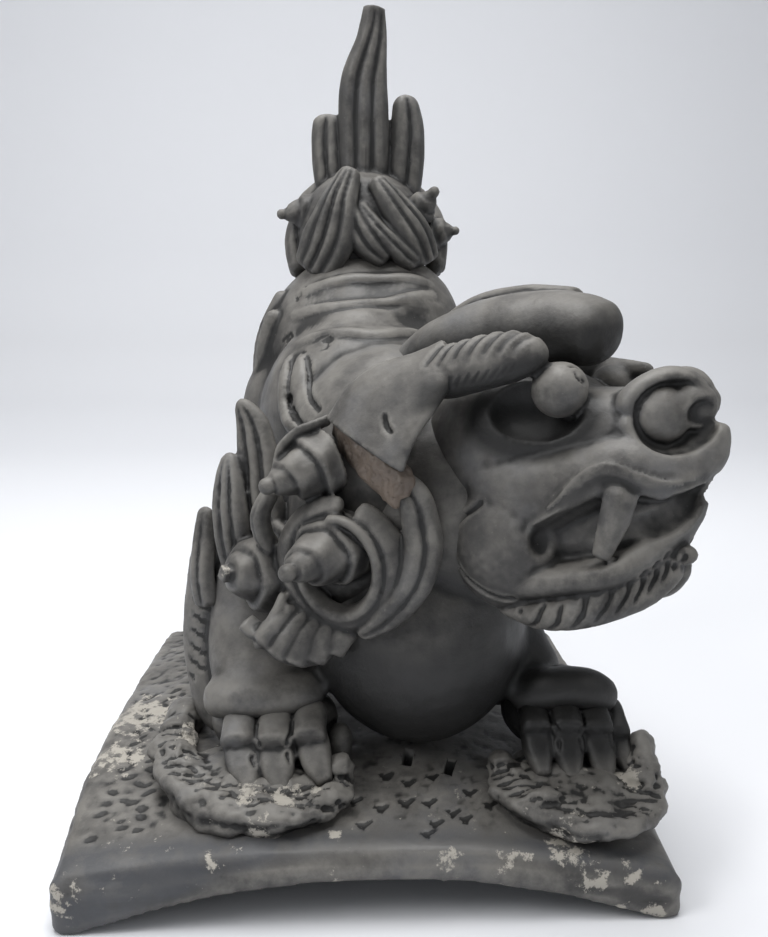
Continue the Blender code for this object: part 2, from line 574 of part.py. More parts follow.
def fired_clay():
    material = bpy.data.materials.new("smoked_tile")
    material.use_nodes = True
    shader = material.node_tree.nodes["Principled BSDF"]
    shader.inputs["Base Color"].default_value = (0.105, 0.105, 0.108, 1)
    shader.inputs["Roughness"].default_value = 0.55
    shader.inputs["Metallic"].default_value = 0
    return material


def main():
    for thing in list(bpy.data.objects):
        bpy.data.objects.remove(thing)
    pile = []
    trunk(pile)
    blank = fuse(to_object(pile, "blank"), BLANK_VOXEL, 10)
    pile = []
    tile(pile)
    ground(pile)
    add_shape(pile, blank)
    fringe(pile)
    paws(pile)
    head(pile)
    mane(pile)
    tail(pile)
    lion = fuse(to_object(pile, "ridge_lion"), FINE_VOXEL, 2)
    thin_out(lion, TRIANGLES)
    stand(lion)
    lion.data.materials.clear()
    lion.data.materials.append(fired_clay())
    group = bpy.data.collections.new("ridge_lion_ornament")
    bpy.context.scene.collection.children.link(group)
    bpy.context.scene.collection.objects.unlink(lion)
    group.objects.link(lion)


main()
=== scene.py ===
# %% [markdown]
# # A crouching lion for a roof ridge
# The lion, its mane, its tail and the arched tile under it are one fired piece in the CAD frame. Here the
# same piece is modelled again more finely, as clay is worked: soft masses first, then crisp parts, then the
# marks of the tools. Each mesh overlaps its neighbour at a joint where the potter luted clay to clay.

import math

import bmesh
import bpy
import numpy as np
from mathutils import Matrix, Vector, noise
from mathutils.bvhtree import BVHTree


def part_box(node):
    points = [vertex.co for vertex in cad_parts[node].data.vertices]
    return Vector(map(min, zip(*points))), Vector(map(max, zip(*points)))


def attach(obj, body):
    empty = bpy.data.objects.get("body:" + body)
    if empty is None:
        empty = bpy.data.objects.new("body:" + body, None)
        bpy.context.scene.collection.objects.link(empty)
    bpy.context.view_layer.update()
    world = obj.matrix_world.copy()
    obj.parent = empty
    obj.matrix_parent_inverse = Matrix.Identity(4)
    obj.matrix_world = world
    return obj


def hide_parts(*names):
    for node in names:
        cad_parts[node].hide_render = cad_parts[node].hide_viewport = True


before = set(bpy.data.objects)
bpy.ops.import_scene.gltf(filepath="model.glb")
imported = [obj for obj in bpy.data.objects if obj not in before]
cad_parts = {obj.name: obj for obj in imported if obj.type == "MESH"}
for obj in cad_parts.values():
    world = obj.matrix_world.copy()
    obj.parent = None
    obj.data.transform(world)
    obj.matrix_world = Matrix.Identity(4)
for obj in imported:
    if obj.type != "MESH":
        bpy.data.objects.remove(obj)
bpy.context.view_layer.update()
cad_low, cad_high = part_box("ridge_lion")
print("CAD box in mm", [round(v * 1000) for v in cad_high - cad_low])

# %% [markdown]
# ## The potter's hands
# Sizes are in millimetres in a design frame: X to the right of the tile's front edge, Y back from it, Z up.
# ORIGIN carries that frame onto the CAD frame. A roll of clay is a sphere drawn out along a curve, so it is
# closed from the start, and rolls that overlap are worked into one skin with a voxel remesh.

# %% Curves and the scene
MM = 0.001
ORIGIN = Vector((0.22, -130.48, 0)) * MM


def mm(*values):
    return Vector(values) * MM


def show(name, data):
    """Puts a mesh, a lamp or a camera into the scene under a name."""
    shown = bpy.data.objects.new(name, data)
    bpy.context.scene.collection.objects.link(shown)
    return shown


def spline(rows, t):
    """Catmull-Rom through the rows, read at each t from 0 to 1."""
    rows = np.asarray(rows, float)
    rows = rows.reshape(len(rows), -1)
    spans = len(rows) - 1
    place = np.clip(np.asarray(t, float), 0, 1) * spans
    first = np.minimum(place.astype(int), spans - 1)
    f = (place - first)[:, None]
    ends = np.vstack([2 * rows[0] - rows[1], rows, 2 * rows[-1] - rows[-2]])
    a, b, c, d = (ends[first + k] for k in range(4))
    return b + f * (c - a + f * (2 * a - 5 * b + 4 * c - d + f * (3 * (b - c) + d - a))) / 2


def unit(rows):
    return rows / np.maximum(np.linalg.norm(rows, axis=1), 1e-9)[:, None]


def place(verts, rows):
    for vert, row in zip(verts, rows):
        vert.co = row


# %% Rolls and balls
# How far apart along a path, from 0 to 1, two points are read for its direction, and how sharp its flutes are.
TANGENT_STEP = 0.004
FLUTE_SHARPNESS = 0.6


def blank(pile, around, along):
    """Adds a sphere to a pile; gives its points, and for each its place from foot to top and its angle round."""
    pile.append(bmesh.new())
    verts = bmesh.ops.create_uvsphere(pile[-1], u_segments=around, v_segments=along, radius=1)["verts"]
    x, y, z = np.array([vert.co for vert in verts]).T
    return verts, np.arccos(np.clip(-z, -1, 1)) / math.pi, np.arctan2(y, x)


def roll(pile, path, widths, depths, out, flutes=0, groove=0.3, around=24, along=36, cap=0.12, square=1.0):
    """A roll of clay laid along a path, wide across it and deep towards out, rounded at both ends."""
    verts, t, angle = blank(pile, around, along)
    centre = spline(path, t)
    tangent = unit(spline(path, np.minimum(t + TANGENT_STEP, 1)) - spline(path, np.maximum(t - TANGENT_STEP, 0)))
    out = np.asarray(out, float).reshape(-1, 3)
    up = spline(out, t) if len(out) > 1 else np.repeat(out, len(t), 0)
    up = unit(up - tangent * (up * tangent).sum(1)[:, None])
    side = np.cross(tangent, up)
    x, y = (np.sign(wave) * np.abs(wave) ** square for wave in (np.cos(angle), np.sin(angle)))
    if flutes:
        ridge = np.abs(np.sin(math.pi * flutes * (x + 1) / 2)) ** FLUTE_SHARPNESS
        y = np.where(y > 0, y * (1 - groove * (1 - ridge)), y)
    over = np.maximum(0, np.abs(2 * t - 1) - (1 - cap)) / cap
    tip = np.sqrt(np.maximum(0, 1 - over**2))
    width, depth = (spline(values, t)[:, 0] * tip for values in (widths, depths))
    place(verts, (centre + side * (x * width)[:, None] + up * (y * depth)[:, None]) * MM)


def placed(centre, size, turn):
    """The matrix that sizes a shape in mm, turns it by degrees about X, Y and Z, and puts it at a centre."""
    matrix = Matrix.Translation(mm(*centre))
    for angle, axis in reversed(list(zip(turn, "XYZ"))):
        matrix = matrix @ Matrix.Rotation(math.radians(angle), 4, axis)
    return matrix @ Matrix.Diagonal((*mm(*size), 1))


def ball(pile, centre, radii, turn=(0, 0, 0), around=32):
    pile.append(bmesh.new())
    bmesh.ops.create_uvsphere(pile[-1], u_segments=around, v_segments=around // 2, radius=1,
                              matrix=placed(centre, radii, turn))


def block(pile, centre, size, turn):
    pile.append(bmesh.new())
    bmesh.ops.create_cube(pile[-1], size=1, matrix=placed(centre, size, turn))


def sided(path, side):
    """A path of the head's left side, or mirrored to its right side where side is -1."""
    return [(x, side * y, z) for x, y, z in path]


def away(path, core):
    """Directions from a core point to each point of a path."""
    return np.asarray(path, float) - np.asarray(core, float)


# %% Curls of hair
def loop(centre, axis, radii, angles, lift, points):
    """Points round an axis between two angles, measured from the right as seen from the axis's tip, and the
    direction out of the curl at each. The third radius says how much smaller the loop ends than it starts."""
    centre, axis = Vector(centre), Vector(axis).normalized()
    right = Vector((0, 0, 1)).cross(axis).normalized()
    up = axis.cross(right)
    path, out = [], []
    for s in np.linspace(0, 1, points):
        angle = math.radians(angles[0] + (angles[1] - angles[0]) * s)
        shrink = 1 + (radii[2] - 1) * s
        spoke = right * radii[0] * shrink * math.cos(angle) + up * radii[1] * shrink * math.sin(angle)
        path.append(centre + spoke + axis * (lift[0] + (lift[1] - lift[0]) * s))
        out.append(axis + spoke.normalized() * 0.35)
    return path, out


# Shares of a conch's radius or height: the step from one turn to the next, its rounded foot, and its taper.
TURN_STEP = 0.22
FOOT_SHARE = 0.1
TIP_TAPER = 0.74


def turban(pile, base, point, radius, turns, hand, tip=4.0):
    """A curl wound up like a conch from a flat band; each turn steps down to the next, and a bead ends it."""
    verts, t, angle = blank(pile, 72, 96)
    s = np.clip((t - FOOT_SHARE) / (1 - FOOT_SHARE), 0, 1)
    wound = s * turns + hand * angle / math.tau
    reach = radius * (1 - TIP_TAPER * s**1.5) * (1 + TURN_STEP * (wound % 1 - 0.6) * np.clip(4 * s, 0, 1))
    reach *= np.sqrt(np.clip(t / FOOT_SHARE, 0, 1)) * np.sqrt(np.clip((1 - t) / 0.05, 0, 1))
    reach *= 1 + 0.035 * np.cos(5 * angle + 9 * s)
    base, point = Vector(base), Vector(point)
    spin = Vector((0, 0, 1)).rotation_difference(point - base).to_matrix()
    local = np.stack([reach * np.cos(angle), reach * np.sin(angle), s * (point - base).length], 1)
    place(verts, (local @ np.array(spin).T + np.array(base)) * MM)
    if tip:
        ball(pile, point + (point - base).normalized() * 0.4 * tip, (tip, tip, tip), around=24)


def flame(pile, path, width, depth, out, flutes=3, shape=(0.8, 1.0, 0.9, 0.3)):
    """A flat lock of hair that comes to a point, grooved along its length."""
    roll(pile, path, [width * w for w in shape], [depth * d for d in (0.9, 1.0, 0.9, 0.5)], out, flutes=flutes,
         groove=0.65, around=64, along=56, cap=0.15)


# %% From rolls to one skin
# Finer skins for finer parts, in millimetres, each piece staying under 200,000 triangles.
VOXEL = {"tile": 1.6, "heaps": 1.3, "trunk": 2.2, "body": 1.74, "paws": 0.95, "skull": 1.3, "egg": 0.8, "head": 1.06,
         "ear_end": 0.6, "mane": 0.99, "tail": 0.95}


def to_object(pile, name):
    """Joins a pile of closed shapes into one object."""
    mesh = bpy.data.meshes.new(name)
    whole = bmesh.new()
    for clay in pile:
        bmesh.ops.recalc_face_normals(clay, faces=clay.faces)
        clay.to_mesh(mesh)
        whole.from_mesh(mesh)
        clay.free()
    whole.to_mesh(mesh)
    whole.free()
    return show(name, mesh)


def settle(shape):
    """Applies the modifiers of a shape."""
    bpy.context.view_layer.update()
    graph = bpy.context.evaluated_depsgraph_get()
    mesh = bpy.data.meshes.new_from_object(shape.evaluated_get(graph))
    old = shape.data
    shape.modifiers.clear()
    shape.data = mesh
    bpy.data.meshes.remove(old)
    return shape


def fuse(pile, name, rounds=0):
    """Works a pile of overlapping rolls into one skin and smooths it for some rounds."""
    shape = to_object(pile, name)
    remesh = shape.modifiers.new("Remesh", "REMESH")
    remesh.mode = "VOXEL"
    remesh.voxel_size = VOXEL[name] * MM
    if rounds:
        shape.modifiers.new("Smooth", "SMOOTH").iterations = rounds
    return settle(shape)


def cut(shape, pile):
    """Cuts what a pile fills out of a shape."""
    cutter = to_object(pile, "cutter")
    boolean = shape.modifiers.new("Cut", "BOOLEAN")
    boolean.operation = "DIFFERENCE"
    boolean.solver = "EXACT"
    boolean.object = cutter
    settle(shape)
    bpy.data.objects.remove(cutter)
    return shape


def add_shape(pile, shape):
    clay = bmesh.new()
    clay.from_mesh(shape.data)
    pile.append(clay)
    bpy.data.objects.remove(shape)


# %% [markdown]
# ## Tool marks
# Grooves, pokes and roughness move the points of a finished skin along its normals. A stroke is a short
# curve near the surface, with a width and a depth. It is dropped onto the skin, and it presses in what lies
# near it, with a low burr at each side as wet clay gives.

# %% Marks on the skin
def read(points, name):
    rows = np.empty(len(points) * 3, np.float32)
    points.foreach_get(name, rows)
    return rows.reshape(-1, 3).astype(float)


def rows_of(mesh):
    return read(mesh.vertices, "co")


def normals_of(mesh):
    return read(mesh.vertex_normals, "vector")


def put_rows(mesh, rows):
    mesh.vertices.foreach_set("co", rows.ravel())
    mesh.update()


# In stroke widths: how close the points of a dropped line lie, how far off its burr stands, and how wide that is.
LINE_STEP = 0.25
BURR_PLACE, BURR_WIDTH = 1.35, 0.35


def carve(shape, strokes, burr=0.2):
    """Presses strokes (points, width, depth) into a piece; a negative depth raises a ridge."""
    mesh = shape.data
    rows, normals = rows_of(mesh), normals_of(mesh)
    tree = BVHTree.FromPolygons([Vector(row) for row in rows], [tuple(face.vertices) for face in mesh.polygons])
    pressed = np.zeros(len(rows))
    raised = np.zeros(len(rows))
    for points, width, depth in strokes:
        points = np.asarray(points, float) * MM
        length = np.linalg.norm(np.diff(points, axis=0), axis=1).sum()
        t = np.linspace(0, 1, max(8, round(length / (LINE_STEP * width * MM))))
        line = np.array([tree.find_nearest(Vector(point))[0] for point in spline(points, t)])
        fade = np.sin(np.pi * np.clip(t, 0.02, 0.98)) ** 0.35
        reach = 2 * width * MM
        near = np.flatnonzero(((rows > line.min(0) - reach) & (rows < line.max(0) + reach)).all(1))
        if not len(near):
            continue
        gap = np.linalg.norm(rows[near][:, None] - line[None], axis=2)
        nearest = gap.argmin(1)
        part = gap[np.arange(len(near)), nearest] / (width * MM)
        strength = fade[nearest]
        dent = np.clip(1 - part**2, 0, 1) ** 1.5 * strength * depth * MM
        pressed[near] = np.where(np.abs(dent) > np.abs(pressed[near]), dent, pressed[near])
        lip = np.exp(-(((part - BURR_PLACE) / BURR_WIDTH) ** 2)) * strength * burr * abs(depth) * MM
        raised[near] = np.maximum(raised[near], lip)
    put_rows(mesh, rows + normals * (np.where(pressed == 0, raised, 0) - pressed)[:, None])


def roughen(shape, size, depth, seed=0.0, stretch=(1, 1, 1), where=None):
    """Moves the skin in and out by smooth noise with features of a size in mm; where gives a strength from 0 to 1
    for each row in mm."""
    mesh = shape.data
    rows = rows_of(mesh)
    scaled = rows / (size * MM) * stretch + seed
    amount = np.array([noise.noise(row) for row in map(Vector, scaled)]) * depth * MM
    if where is not None:
        amount = amount * where(rows / MM)
    put_rows(mesh, rows + normals_of(mesh) * amount[:, None])


def grit(shape, depth, stretch=(1, 1, 1)):
    """The fine grit of the clay, which every crisp part shows."""
    roughen(shape, 3.0, depth, 6.0, stretch)


def near_spots(*spots):
    """A mask that falls from 1 at each spot (x, y, z, radius) to 0 at its radius."""
    def strength(rows):
        gaps = [np.linalg.norm(rows - np.array(spot[:3], float), axis=1) / spot[3] for spot in spots]
        return np.clip(1 - np.min(gaps, axis=0) ** 2, 0, 1)
    return strength


def between(values, start, end):
    """A mask that climbs from 0 where the values are at start to 1 where they are at end."""
    return np.clip((values - start) / (end - start), 0, 1)


# %% [markdown]
# A finished piece goes from the design frame into the CAD frame. Its points keep how far they stand proud of a
# smoothed copy of the skin, once over a few rounds of smoothing and once over many, and which way they face.
# The colour of the clay is mixed from that, with painted shade in hollows, and with masks for painted shade, smoke or
# lime.

# %% Finishing a piece
FINE_ROUNDS, BROAD_ROUNDS = 6, 24
CLEARANCE = 0.05 * MM
pieces = []


def finish_piece(shape, name, **masks):
    """Puts a piece in the CAD frame and keeps what the clay's colour needs to know about its surface."""
    mesh = shape.data
    painted = [(label, mask(rows_of(mesh) / MM)) for label, mask in masks.items()]
    rows = rows_of(mesh) + np.array(ORIGIN)
    rows = np.clip(rows, np.array(cad_low) + CLEARANCE, np.array(cad_high) - CLEARANCE)
    put_rows(mesh, rows)
    edges = np.empty(len(mesh.edges) * 2, np.int32)
    mesh.edges.foreach_get("vertices", edges)
    a, b = edges.reshape(-1, 2).T
    here, there = np.concatenate([a, b]), np.concatenate([b, a])
    count = np.maximum(np.bincount(here, minlength=len(rows)), 1)[:, None]
    soft = rows.copy()
    normals = normals_of(mesh)
    for step in range(BROAD_ROUNDS):
        soft = np.stack([np.bincount(here, axis[there], len(rows)) for axis in soft.T], 1) / count
        if step == FINE_ROUNDS - 1:
            fine = ((rows - soft) * normals).sum(1) / MM
    broad = ((rows - soft) * normals).sum(1) / MM
    for label, values in [("edge_fine", fine), ("edge_broad", broad), ("faces_up", normals[:, 2]), *painted]:
        attribute = mesh.attributes.new(label, "FLOAT", "POINT")
        attribute.data.foreach_set("value", values.astype(np.float32))
    mesh.shade_smooth()
    shape.name = name
    mesh.name = name
    triangles = sum(len(face.vertices) - 2 for face in mesh.polygons)
    print(name, triangles, "triangles")
    pieces.append(shape)


# %% [markdown]
# ## The tile
# A slab with an arched underside that stands on its two long sides. Its front lip is rounded, two narrow
# slots for tie wire go down through it between the paws, and the ground is stabbed with a pointed tool.

# %% The slab
TILE_HALF_WIDTH = 132
TILE_LENGTH = 262
TILE_TURN = 0.9
TILE_SHIFT = (-1.5, -0.5, 0)
TILE_ARCH_HALF_WIDTH = 123
TILE_ARCH_RISE = 22
TILE_ARCH_MORE_INSIDE = 5
TILE_CORNER = 6
LIP_RADIUS = 7
SLAB_CUTS = 60


def tile_top(x, y):
    """Height of the tile's top: arched across, with the side edges a little lower than the middle."""
    t = np.clip(np.asarray(y, float) / TILE_LENGTH, 0, 1)
    middle = spline([[34.5], [42], [45.5], [43.5], [35]], t)[:, 0]
    left = spline([[24], [40], [38], [33], [25]], t)[:, 0]
    right = spline([[20], [24], [26], [25], [21]], t)[:, 0]
    part = np.clip((np.asarray(x, float) / TILE_HALF_WIDTH) ** 2, 0, 1.1)
    return middle + (np.where(x < 0, left, right) - middle) * part


def slab(pile):
    clay = bmesh.new()
    pile.append(clay)
    verts = bmesh.ops.create_cube(clay, size=2)["verts"]
    edges = list({edge for vert in verts for edge in vert.link_edges})
    bmesh.ops.subdivide_edges(clay, edges=edges, cuts=SLAB_CUTS, use_grid_fill=True)
    verts = list(clay.verts)
    cube = np.array([vert.co for vert in verts])
    half = TILE_LENGTH / 2
    plan = cube[:, :2] * (TILE_HALF_WIDTH, half)
    inner = np.array([TILE_HALF_WIDTH, half]) - TILE_CORNER
    past = np.maximum(np.abs(plan) - inner, 0)
    reach = np.linalg.norm(past, axis=1)
    shrink = np.where(reach > TILE_CORNER, TILE_CORNER / np.maximum(reach, 1e-9), 1)
    plan = np.sign(plan) * (np.minimum(np.abs(plan), inner) + past * shrink[:, None])
    margin = np.minimum(TILE_HALF_WIDTH - np.abs(plan[:, 0]), half - np.abs(plan[:, 1]))
    x, y = plan[:, 0], plan[:, 1] + half
    edge = np.clip(LIP_RADIUS - margin, 0, LIP_RADIUS)
    drop = LIP_RADIUS - np.sqrt(np.maximum(LIP_RADIUS**2 - edge**2, 0))
    rise = TILE_ARCH_RISE + TILE_ARCH_MORE_INSIDE * np.sin(math.pi * y / TILE_LENGTH)
    low = np.maximum(rise * (1 - (x / TILE_ARCH_HALF_WIDTH) ** 2), 0.1)
    high = tile_top(x, y) - drop
    z = low + (high - low) * (cube[:, 2] + 1) / 2
    turn = math.radians(TILE_TURN)
    spun = np.stack([x * math.cos(turn) - y * math.sin(turn), x * math.sin(turn) + y * math.cos(turn), z], 1)
    place(verts, (spun + TILE_SHIFT) * MM)


pile = []
slab(pile)
tile = fuse(pile, "tile", 2)
SLOT_SIZE = (4.8, 13, 30)
for x, y, swing in ((17, 63, -10), (36.2, 56.5, -16)):
    pile = []
    block(pile, (x, y, 38), SLOT_SIZE, (0, 0, swing))
    cut(tile, pile)
print("slab and two slots", len(tile.data.polygons), "faces")

# %% Marks in the ground
def on_tile(x, y):
    return (x, y, float(tile_top(np.array([x]), np.array([y]))[0]))


marks = []
STABS = [(6.6, 50), (16.4, 45), (28, 50), (3.8, 28), (15, 32), (25, 32), (35, 26), (40, 23), (-4, 18), (27, 19),
         (23, 13), (-8, 33), (44, 40), (-14, 44), (52, 33)]
for index, (x, y) in enumerate(STABS):
    swing = math.sin(index * 2.3)
    points = [on_tile(x - 3, y + 0.5 * swing), on_tile(x, y - 1), on_tile(x + 3, y + 1.5)]
    marks += [(points, 1.5, 1.4), ([on_tile(x - 1.5, y - 1), on_tile(x, y - 3.5)], 1.5, 1.2)]
DENTS = 46
for index in range(DENTS):
    x = -122 + 20 * abs(math.sin(index * 1.9))
    y = 18 + index * 2.6
    lean = 5 * math.sin(index * 3.1)
    marks.append(([on_tile(x, y), on_tile(x + 4, y + lean)], 2.2, 1.1))
carve(tile, marks, 0.35)


def front(rows):
    return between(rows[:, 1], 14, 4)


def ground(rows):
    return between(rows[:, 1], 10, 30) * between(rows[:, 2], 20, 26)


def left_side(rows):
    return between(rows[:, 0], -70, -95) * ground(rows)


roughen(tile, 30, 0.5)
roughen(tile, 9, 0.55, 3.0, where=ground)
roughen(tile, 5, 0.6, 5.0, where=left_side)
roughen(tile, 3.2, 0.3, 9.0, where=ground)
roughen(tile, 12, 0.5, 7.0, (0.4, 1, 2), where=front)


def smoke(rows):
    """The bluish band that the kiln left along the top of the front lip and over its left end."""
    bound = spline([[-8], [8], [24], [31], [32], [29], [20], [12]], (rows[:, 0] + 130) / 260)[:, 0]
    return np.clip((rows[:, 2] - bound) / 5, 0, 1) * between(rows[:, 1], 19, 10)


# Places where lime mortar still clings to the lip.
LIME_ON_TILE = [(-128, 1, 18, 12), (-65, 1, 32, 7), (30, 1, 30, 6), (33, 2, 34, 6), (55, 1, 31, 7), (63, 1, 31, 6),
                (92, 1, 20, 8), (109, 1, 24, 8), (104, 1, 6, 7), (117, 1, 3, 8), (-16, 11, 38, 6), (37, 27, 44, 7),
                (45, 27, 43, 7), (82, 7, 34, 14), (80, 2, 32, 10), (-55, 20, 40, 8), (-35, 19, 41, 8),
                (-120, 70, 36, 22), (-118, 110, 40, 30)]
finish_piece(tile, "tile", smoke=smoke, lime=near_spots(*LIME_ON_TILE))

# %% [markdown]
# Rough clay is heaped round each paw and torn at its rim. Each heap is a rolled rim with lumps along it, and
# short gouges tear it, because clay pressed up round a foot breaks in ridges.

# %% Heaps round the paws
LUMPS = 13


def mound(pile, rim, middle, radii, width, depth):
    """A low heap, a rim in front of the claws and lumps along the rim."""
    ball(pile, middle, radii)
    roll(pile, rim, [width * 0.7, width, width, width * 0.8], [depth * 0.7, depth, depth, depth * 0.8], (0, 0, 1))
    for lump, (x, y, z) in enumerate(spline(rim, np.linspace(0.03, 0.97, LUMPS))):
        swing = math.sin(lump * 2.4)
        ball(pile, (x + 2 * swing, y - 2 * swing, z + 1.2 * math.cos(lump * 1.7)),
             (width * (0.75 + 0.2 * swing), width * (0.8 - 0.2 * swing), depth), (0, 0, lump * 50), 20)


pile = []
mound(pile, [(-93, 80, 50), (-90, 54, 50), (-76, 31, 45), (-50, 20, 43), (-26, 20, 43), (-15, 36, 43)],
      (-50, 46, 38), (42, 36, 14), 11, 6)
mound(pile, [(58, 52, 43), (64, 30, 42), (82, 18, 41), (104, 17, 38), (119, 30, 38), (121, 50, 42)],
      (90, 42, 37), (33, 35, 13), 11, 6)
for centre, radii in (((122, 44, 46), (8, 10, 9)), ((124, 52, 52), (6, 7, 7)), ((118, 36, 44), (7, 7, 8)),
                      ((-15, 40, 48), (6, 8, 8)), ((-92, 92, 50), (10, 14, 8))):
    ball(pile, centre, radii, around=20)
for x in (-60, 54):
    ball(pile, (x, 214, 38), (32, 38, 12))
heaps = fuse(pile, "heaps", 1)
roughen(heaps, 12, 2.2)
roughen(heaps, 5.5, 1.5, 4.0, (0.6, 0.6, 1.4))
roughen(heaps, 2.8, 0.55, 8.0)
GOUGES = 22
gouges = []
for index in range(GOUGES):
    for rim, lean, depth in (([(-92, 70, 52), (-84, 38, 50), (-60, 22, 48), (-30, 16, 46), (-12, 36, 46)], 1, 2.0),
                             ([(58, 46, 46), (66, 24, 46), (90, 12, 42), (112, 18, 42), (122, 42, 46)], -1, 1.8)):
        x, y, z = spline(rim, [index / (GOUGES - 1)])[0]
        lean *= math.sin(index * 2.7)
        gouges.append(([(x - 7, y + lean, z + 1 + lean), (x + 7, y - lean, z - 2 - lean)], 1.7, depth))
carve(heaps, gouges, 0.4)

# Mortar between the claws and along the foot of each heap.
LIME_ON_HEAPS = [(-52, 24, 46, 12), (-38, 22, 46, 12), (-22, 24, 46, 8), (-17, 58, 58, 10), (-84, 66, 52, 12),
                 (112, 34, 46, 10), (84, 14, 34, 12), (-46, 12, 40, 9)]
finish_piece(heaps, "ground_heaps", lime=near_spots(*LIME_ON_HEAPS))

# %% [markdown]
# ## The body
# Chest low on the tile, rump high, four legs. The back has soft folds of skin, the legs a fringe of combed
# fur, and the haunch wavy locks in low relief.

# %% Trunk and legs
# Rump, the hollow of the back, belly, shoulders, chest and neck: a centre and three radii each.
MASSES = [((-5, 192, 214), (57, 58, 62)), ((14, 185, 222), (40, 45, 52)), ((-3, 150, 188), (55, 58, 60)),
          ((8, 104, 166), (52, 56, 66)), ((22, 86, 102), (52, 56, 58)), ((40, 78, 160), (46, 44, 50))]


def trunk(pile):
    for centre, radii in MASSES:
        ball(pile, centre, radii)
    roll(pile, [(-34, 114, 160), (-52, 106, 125), (-54, 88, 92), (-50, 68, 66)], [24, 25, 23, 23], [24, 24, 25, 22],
         (-1, 0, 0))
    roll(pile, [(44, 122, 150), (52, 114, 118), (65, 98, 86), (78, 82, 64)], [28, 26, 23, 22], [28, 24, 22, 20],
         (1, 0, 0))
    for side in (-1, 1):
        x = -5 + side * 45
        ball(pile, (x, 190, 165), (24, 42, 60), (20, 0, 0))
        roll(pile, [(x, 170, 135), (x + side * 6, 196, 100), (x + side * 6, 214, 70), (x + side * 4, 204, 48)],
             [20, 18, 17, 18], [26, 20, 17, 16], (side, 0, 0))
        ball(pile, (x + side * 4, 200, 50), (23, 32, 15))
    for cuff in ([(-76, 66, 71), (-63, 59, 75), (-50, 57, 76), (-37, 59, 76), (-24, 66, 75)],
                 [(68, 68, 68), (79, 61, 76), (90, 60, 78), (101, 61, 76), (112, 68, 68)]):
        roll(pile, cuff, [9, 10, 10, 10, 9], [9, 10, 10, 10, 9], (0, -0.7, 0.7), along=48)


pile = []
trunk(pile)
body = fuse(pile, "trunk", 14)
pile = []
add_shape(pile, body)
roll(pile, [(-72, 100, 154), (-77, 99, 142), (-82, 98, 124), (-84, 96, 104), (-84, 92, 80), (-80, 84, 60),
            (-74, 76, 48)], [4, 8, 9, 10, 10, 9, 4], [3, 4, 4, 4, 4, 4, 3], (-0.5, -0.8, 0), cap=0.3)
for x in (-58, 50):
    for step in (-1, 0, 1):
        ball(pile, (x + step * 14, 172, 50), (8, 11, 9), around=20)
for path in ([(-50, 166, 246), (-56, 170, 226), (-60, 176, 204), (-60, 180, 186)],
             [(-46, 178, 256), (-54, 182, 238), (-60, 188, 218), (-63, 192, 200)],
             [(50, 166, 244), (56, 170, 224), (60, 176, 202), (60, 180, 184)]):
    roll(pile, path, [4, 7, 7, 3], [4, 5, 5, 3], away(path, (0, 180, 215)), flutes=2, cap=0.2)
for path, width in (([(-40, 126, 226), (-41, 114, 213), (-41, 106, 202), (-37, 90, 196), (-28, 80, 197)], 3.4),
                    ([(-34, 119, 227), (-33, 108, 214), (-31, 96, 206), (-26, 82, 203), (-19, 76, 203)], 4.6)):
    roll(pile, path, [2, width, width, width, 3], [2, 3, 3, 3, 2.5], away(path, (0, 120, 170)), cap=0.3, square=0.8)
body = fuse(pile, "body", 2)

# %% Folds, ticks and combed fur
# Valleys go in first with no burr, then the ridges between them, and the tool's ticks and the combed fur last.
valleys = [([(-40, 166, 262), (-20, 162, 268), (0, 162, 269), (20, 162, 268), (38, 168, 262)], 9, 1.4),
           ([(-36, 158, 252), (-18, 150, 256), (0, 150, 257), (22, 153, 259), (36, 160, 256)], 9, 2.0),
           ([(-34, 142, 238), (-18, 130, 243), (0, 128, 243), (22, 139, 244), (36, 148, 244)], 10, 2.3)]
carve(body, valleys, 0)
ridges = [([(-36, 160, 256), (-10, 156, 263), (10, 158, 264), (34, 163, 262)], 4, -1.5),
          ([(-38, 155, 243), (-15, 145, 248), (1, 145, 250), (14, 148, 252), (36, 157, 256)], 4, -1.9),
          ([(-34, 130, 231), (-14, 119, 237), (6, 117, 236), (30, 135, 238)], 4.2, -1.8)]
carve(body, ridges, 0)
strokes = []
for x, y, z in ((-43, 150, 233), (-22, 118, 235)):
    strokes += [([(x - 4.5, y + 3, z - 2), (x, y, z + 1.5), (x + 4, y - 3, z - 1)], 1.1, 1.2),
                ([(x - 1, y, z - 1), (x + 3, y - 2, z - 2.5)], 1.6, 1.6),
                ([(x + 2, y - 2, z - 4), (x + 3, y - 2, z - 8), (x, y, z - 11)], 0.9, 0.8),
                ([(x - 9, y + 4, z - 10), (x - 7, y + 3, z - 12)], 1.2, 1.0)]
strokes += [([(-38, 120, 223), (-37, 109, 207), (-34, 95, 199), (-28, 80, 196), (-22, 74, 197)], 1.8, 2.4),
            ([(-30, 115, 224), (-28, 104, 213), (-25, 90, 207), (-20, 78, 203)], 1.8, 2.4)]
for shift in (0, 2.5, 5):
    x, y, z = -39 + shift, 162 + shift / 2.5, 253 + shift
    strokes.append(([(x, y, z), (x + 2, y - 2, z - 3)], 1.0, 0.9))
for z in np.linspace(140, 48.8, 13):
    strokes.append(([(-88, 92, z + 1), (-82, 89, z - 2), (-77, 88, z - 2.5)], 1.3, 1.3))
carve(body, strokes)
roughen(body, 26, 0.9)
roughen(body, 7, 0.18, 5.0)


def chest_soot(rows):
    """Painted shade low on the chest, under the body."""
    return between(rows[:, 2], 150, 100) * between(rows[:, 0], -34, -16) * between(rows[:, 1], 150, 110)


finish_piece(body, "body", soot=chest_soot)


# %% [markdown]
# A front paw shows a row of square knuckles with a broad claw under each. Both are flattened rolls, because a
# roll's ends can be made blunt for a knuckle and narrow for a claw.

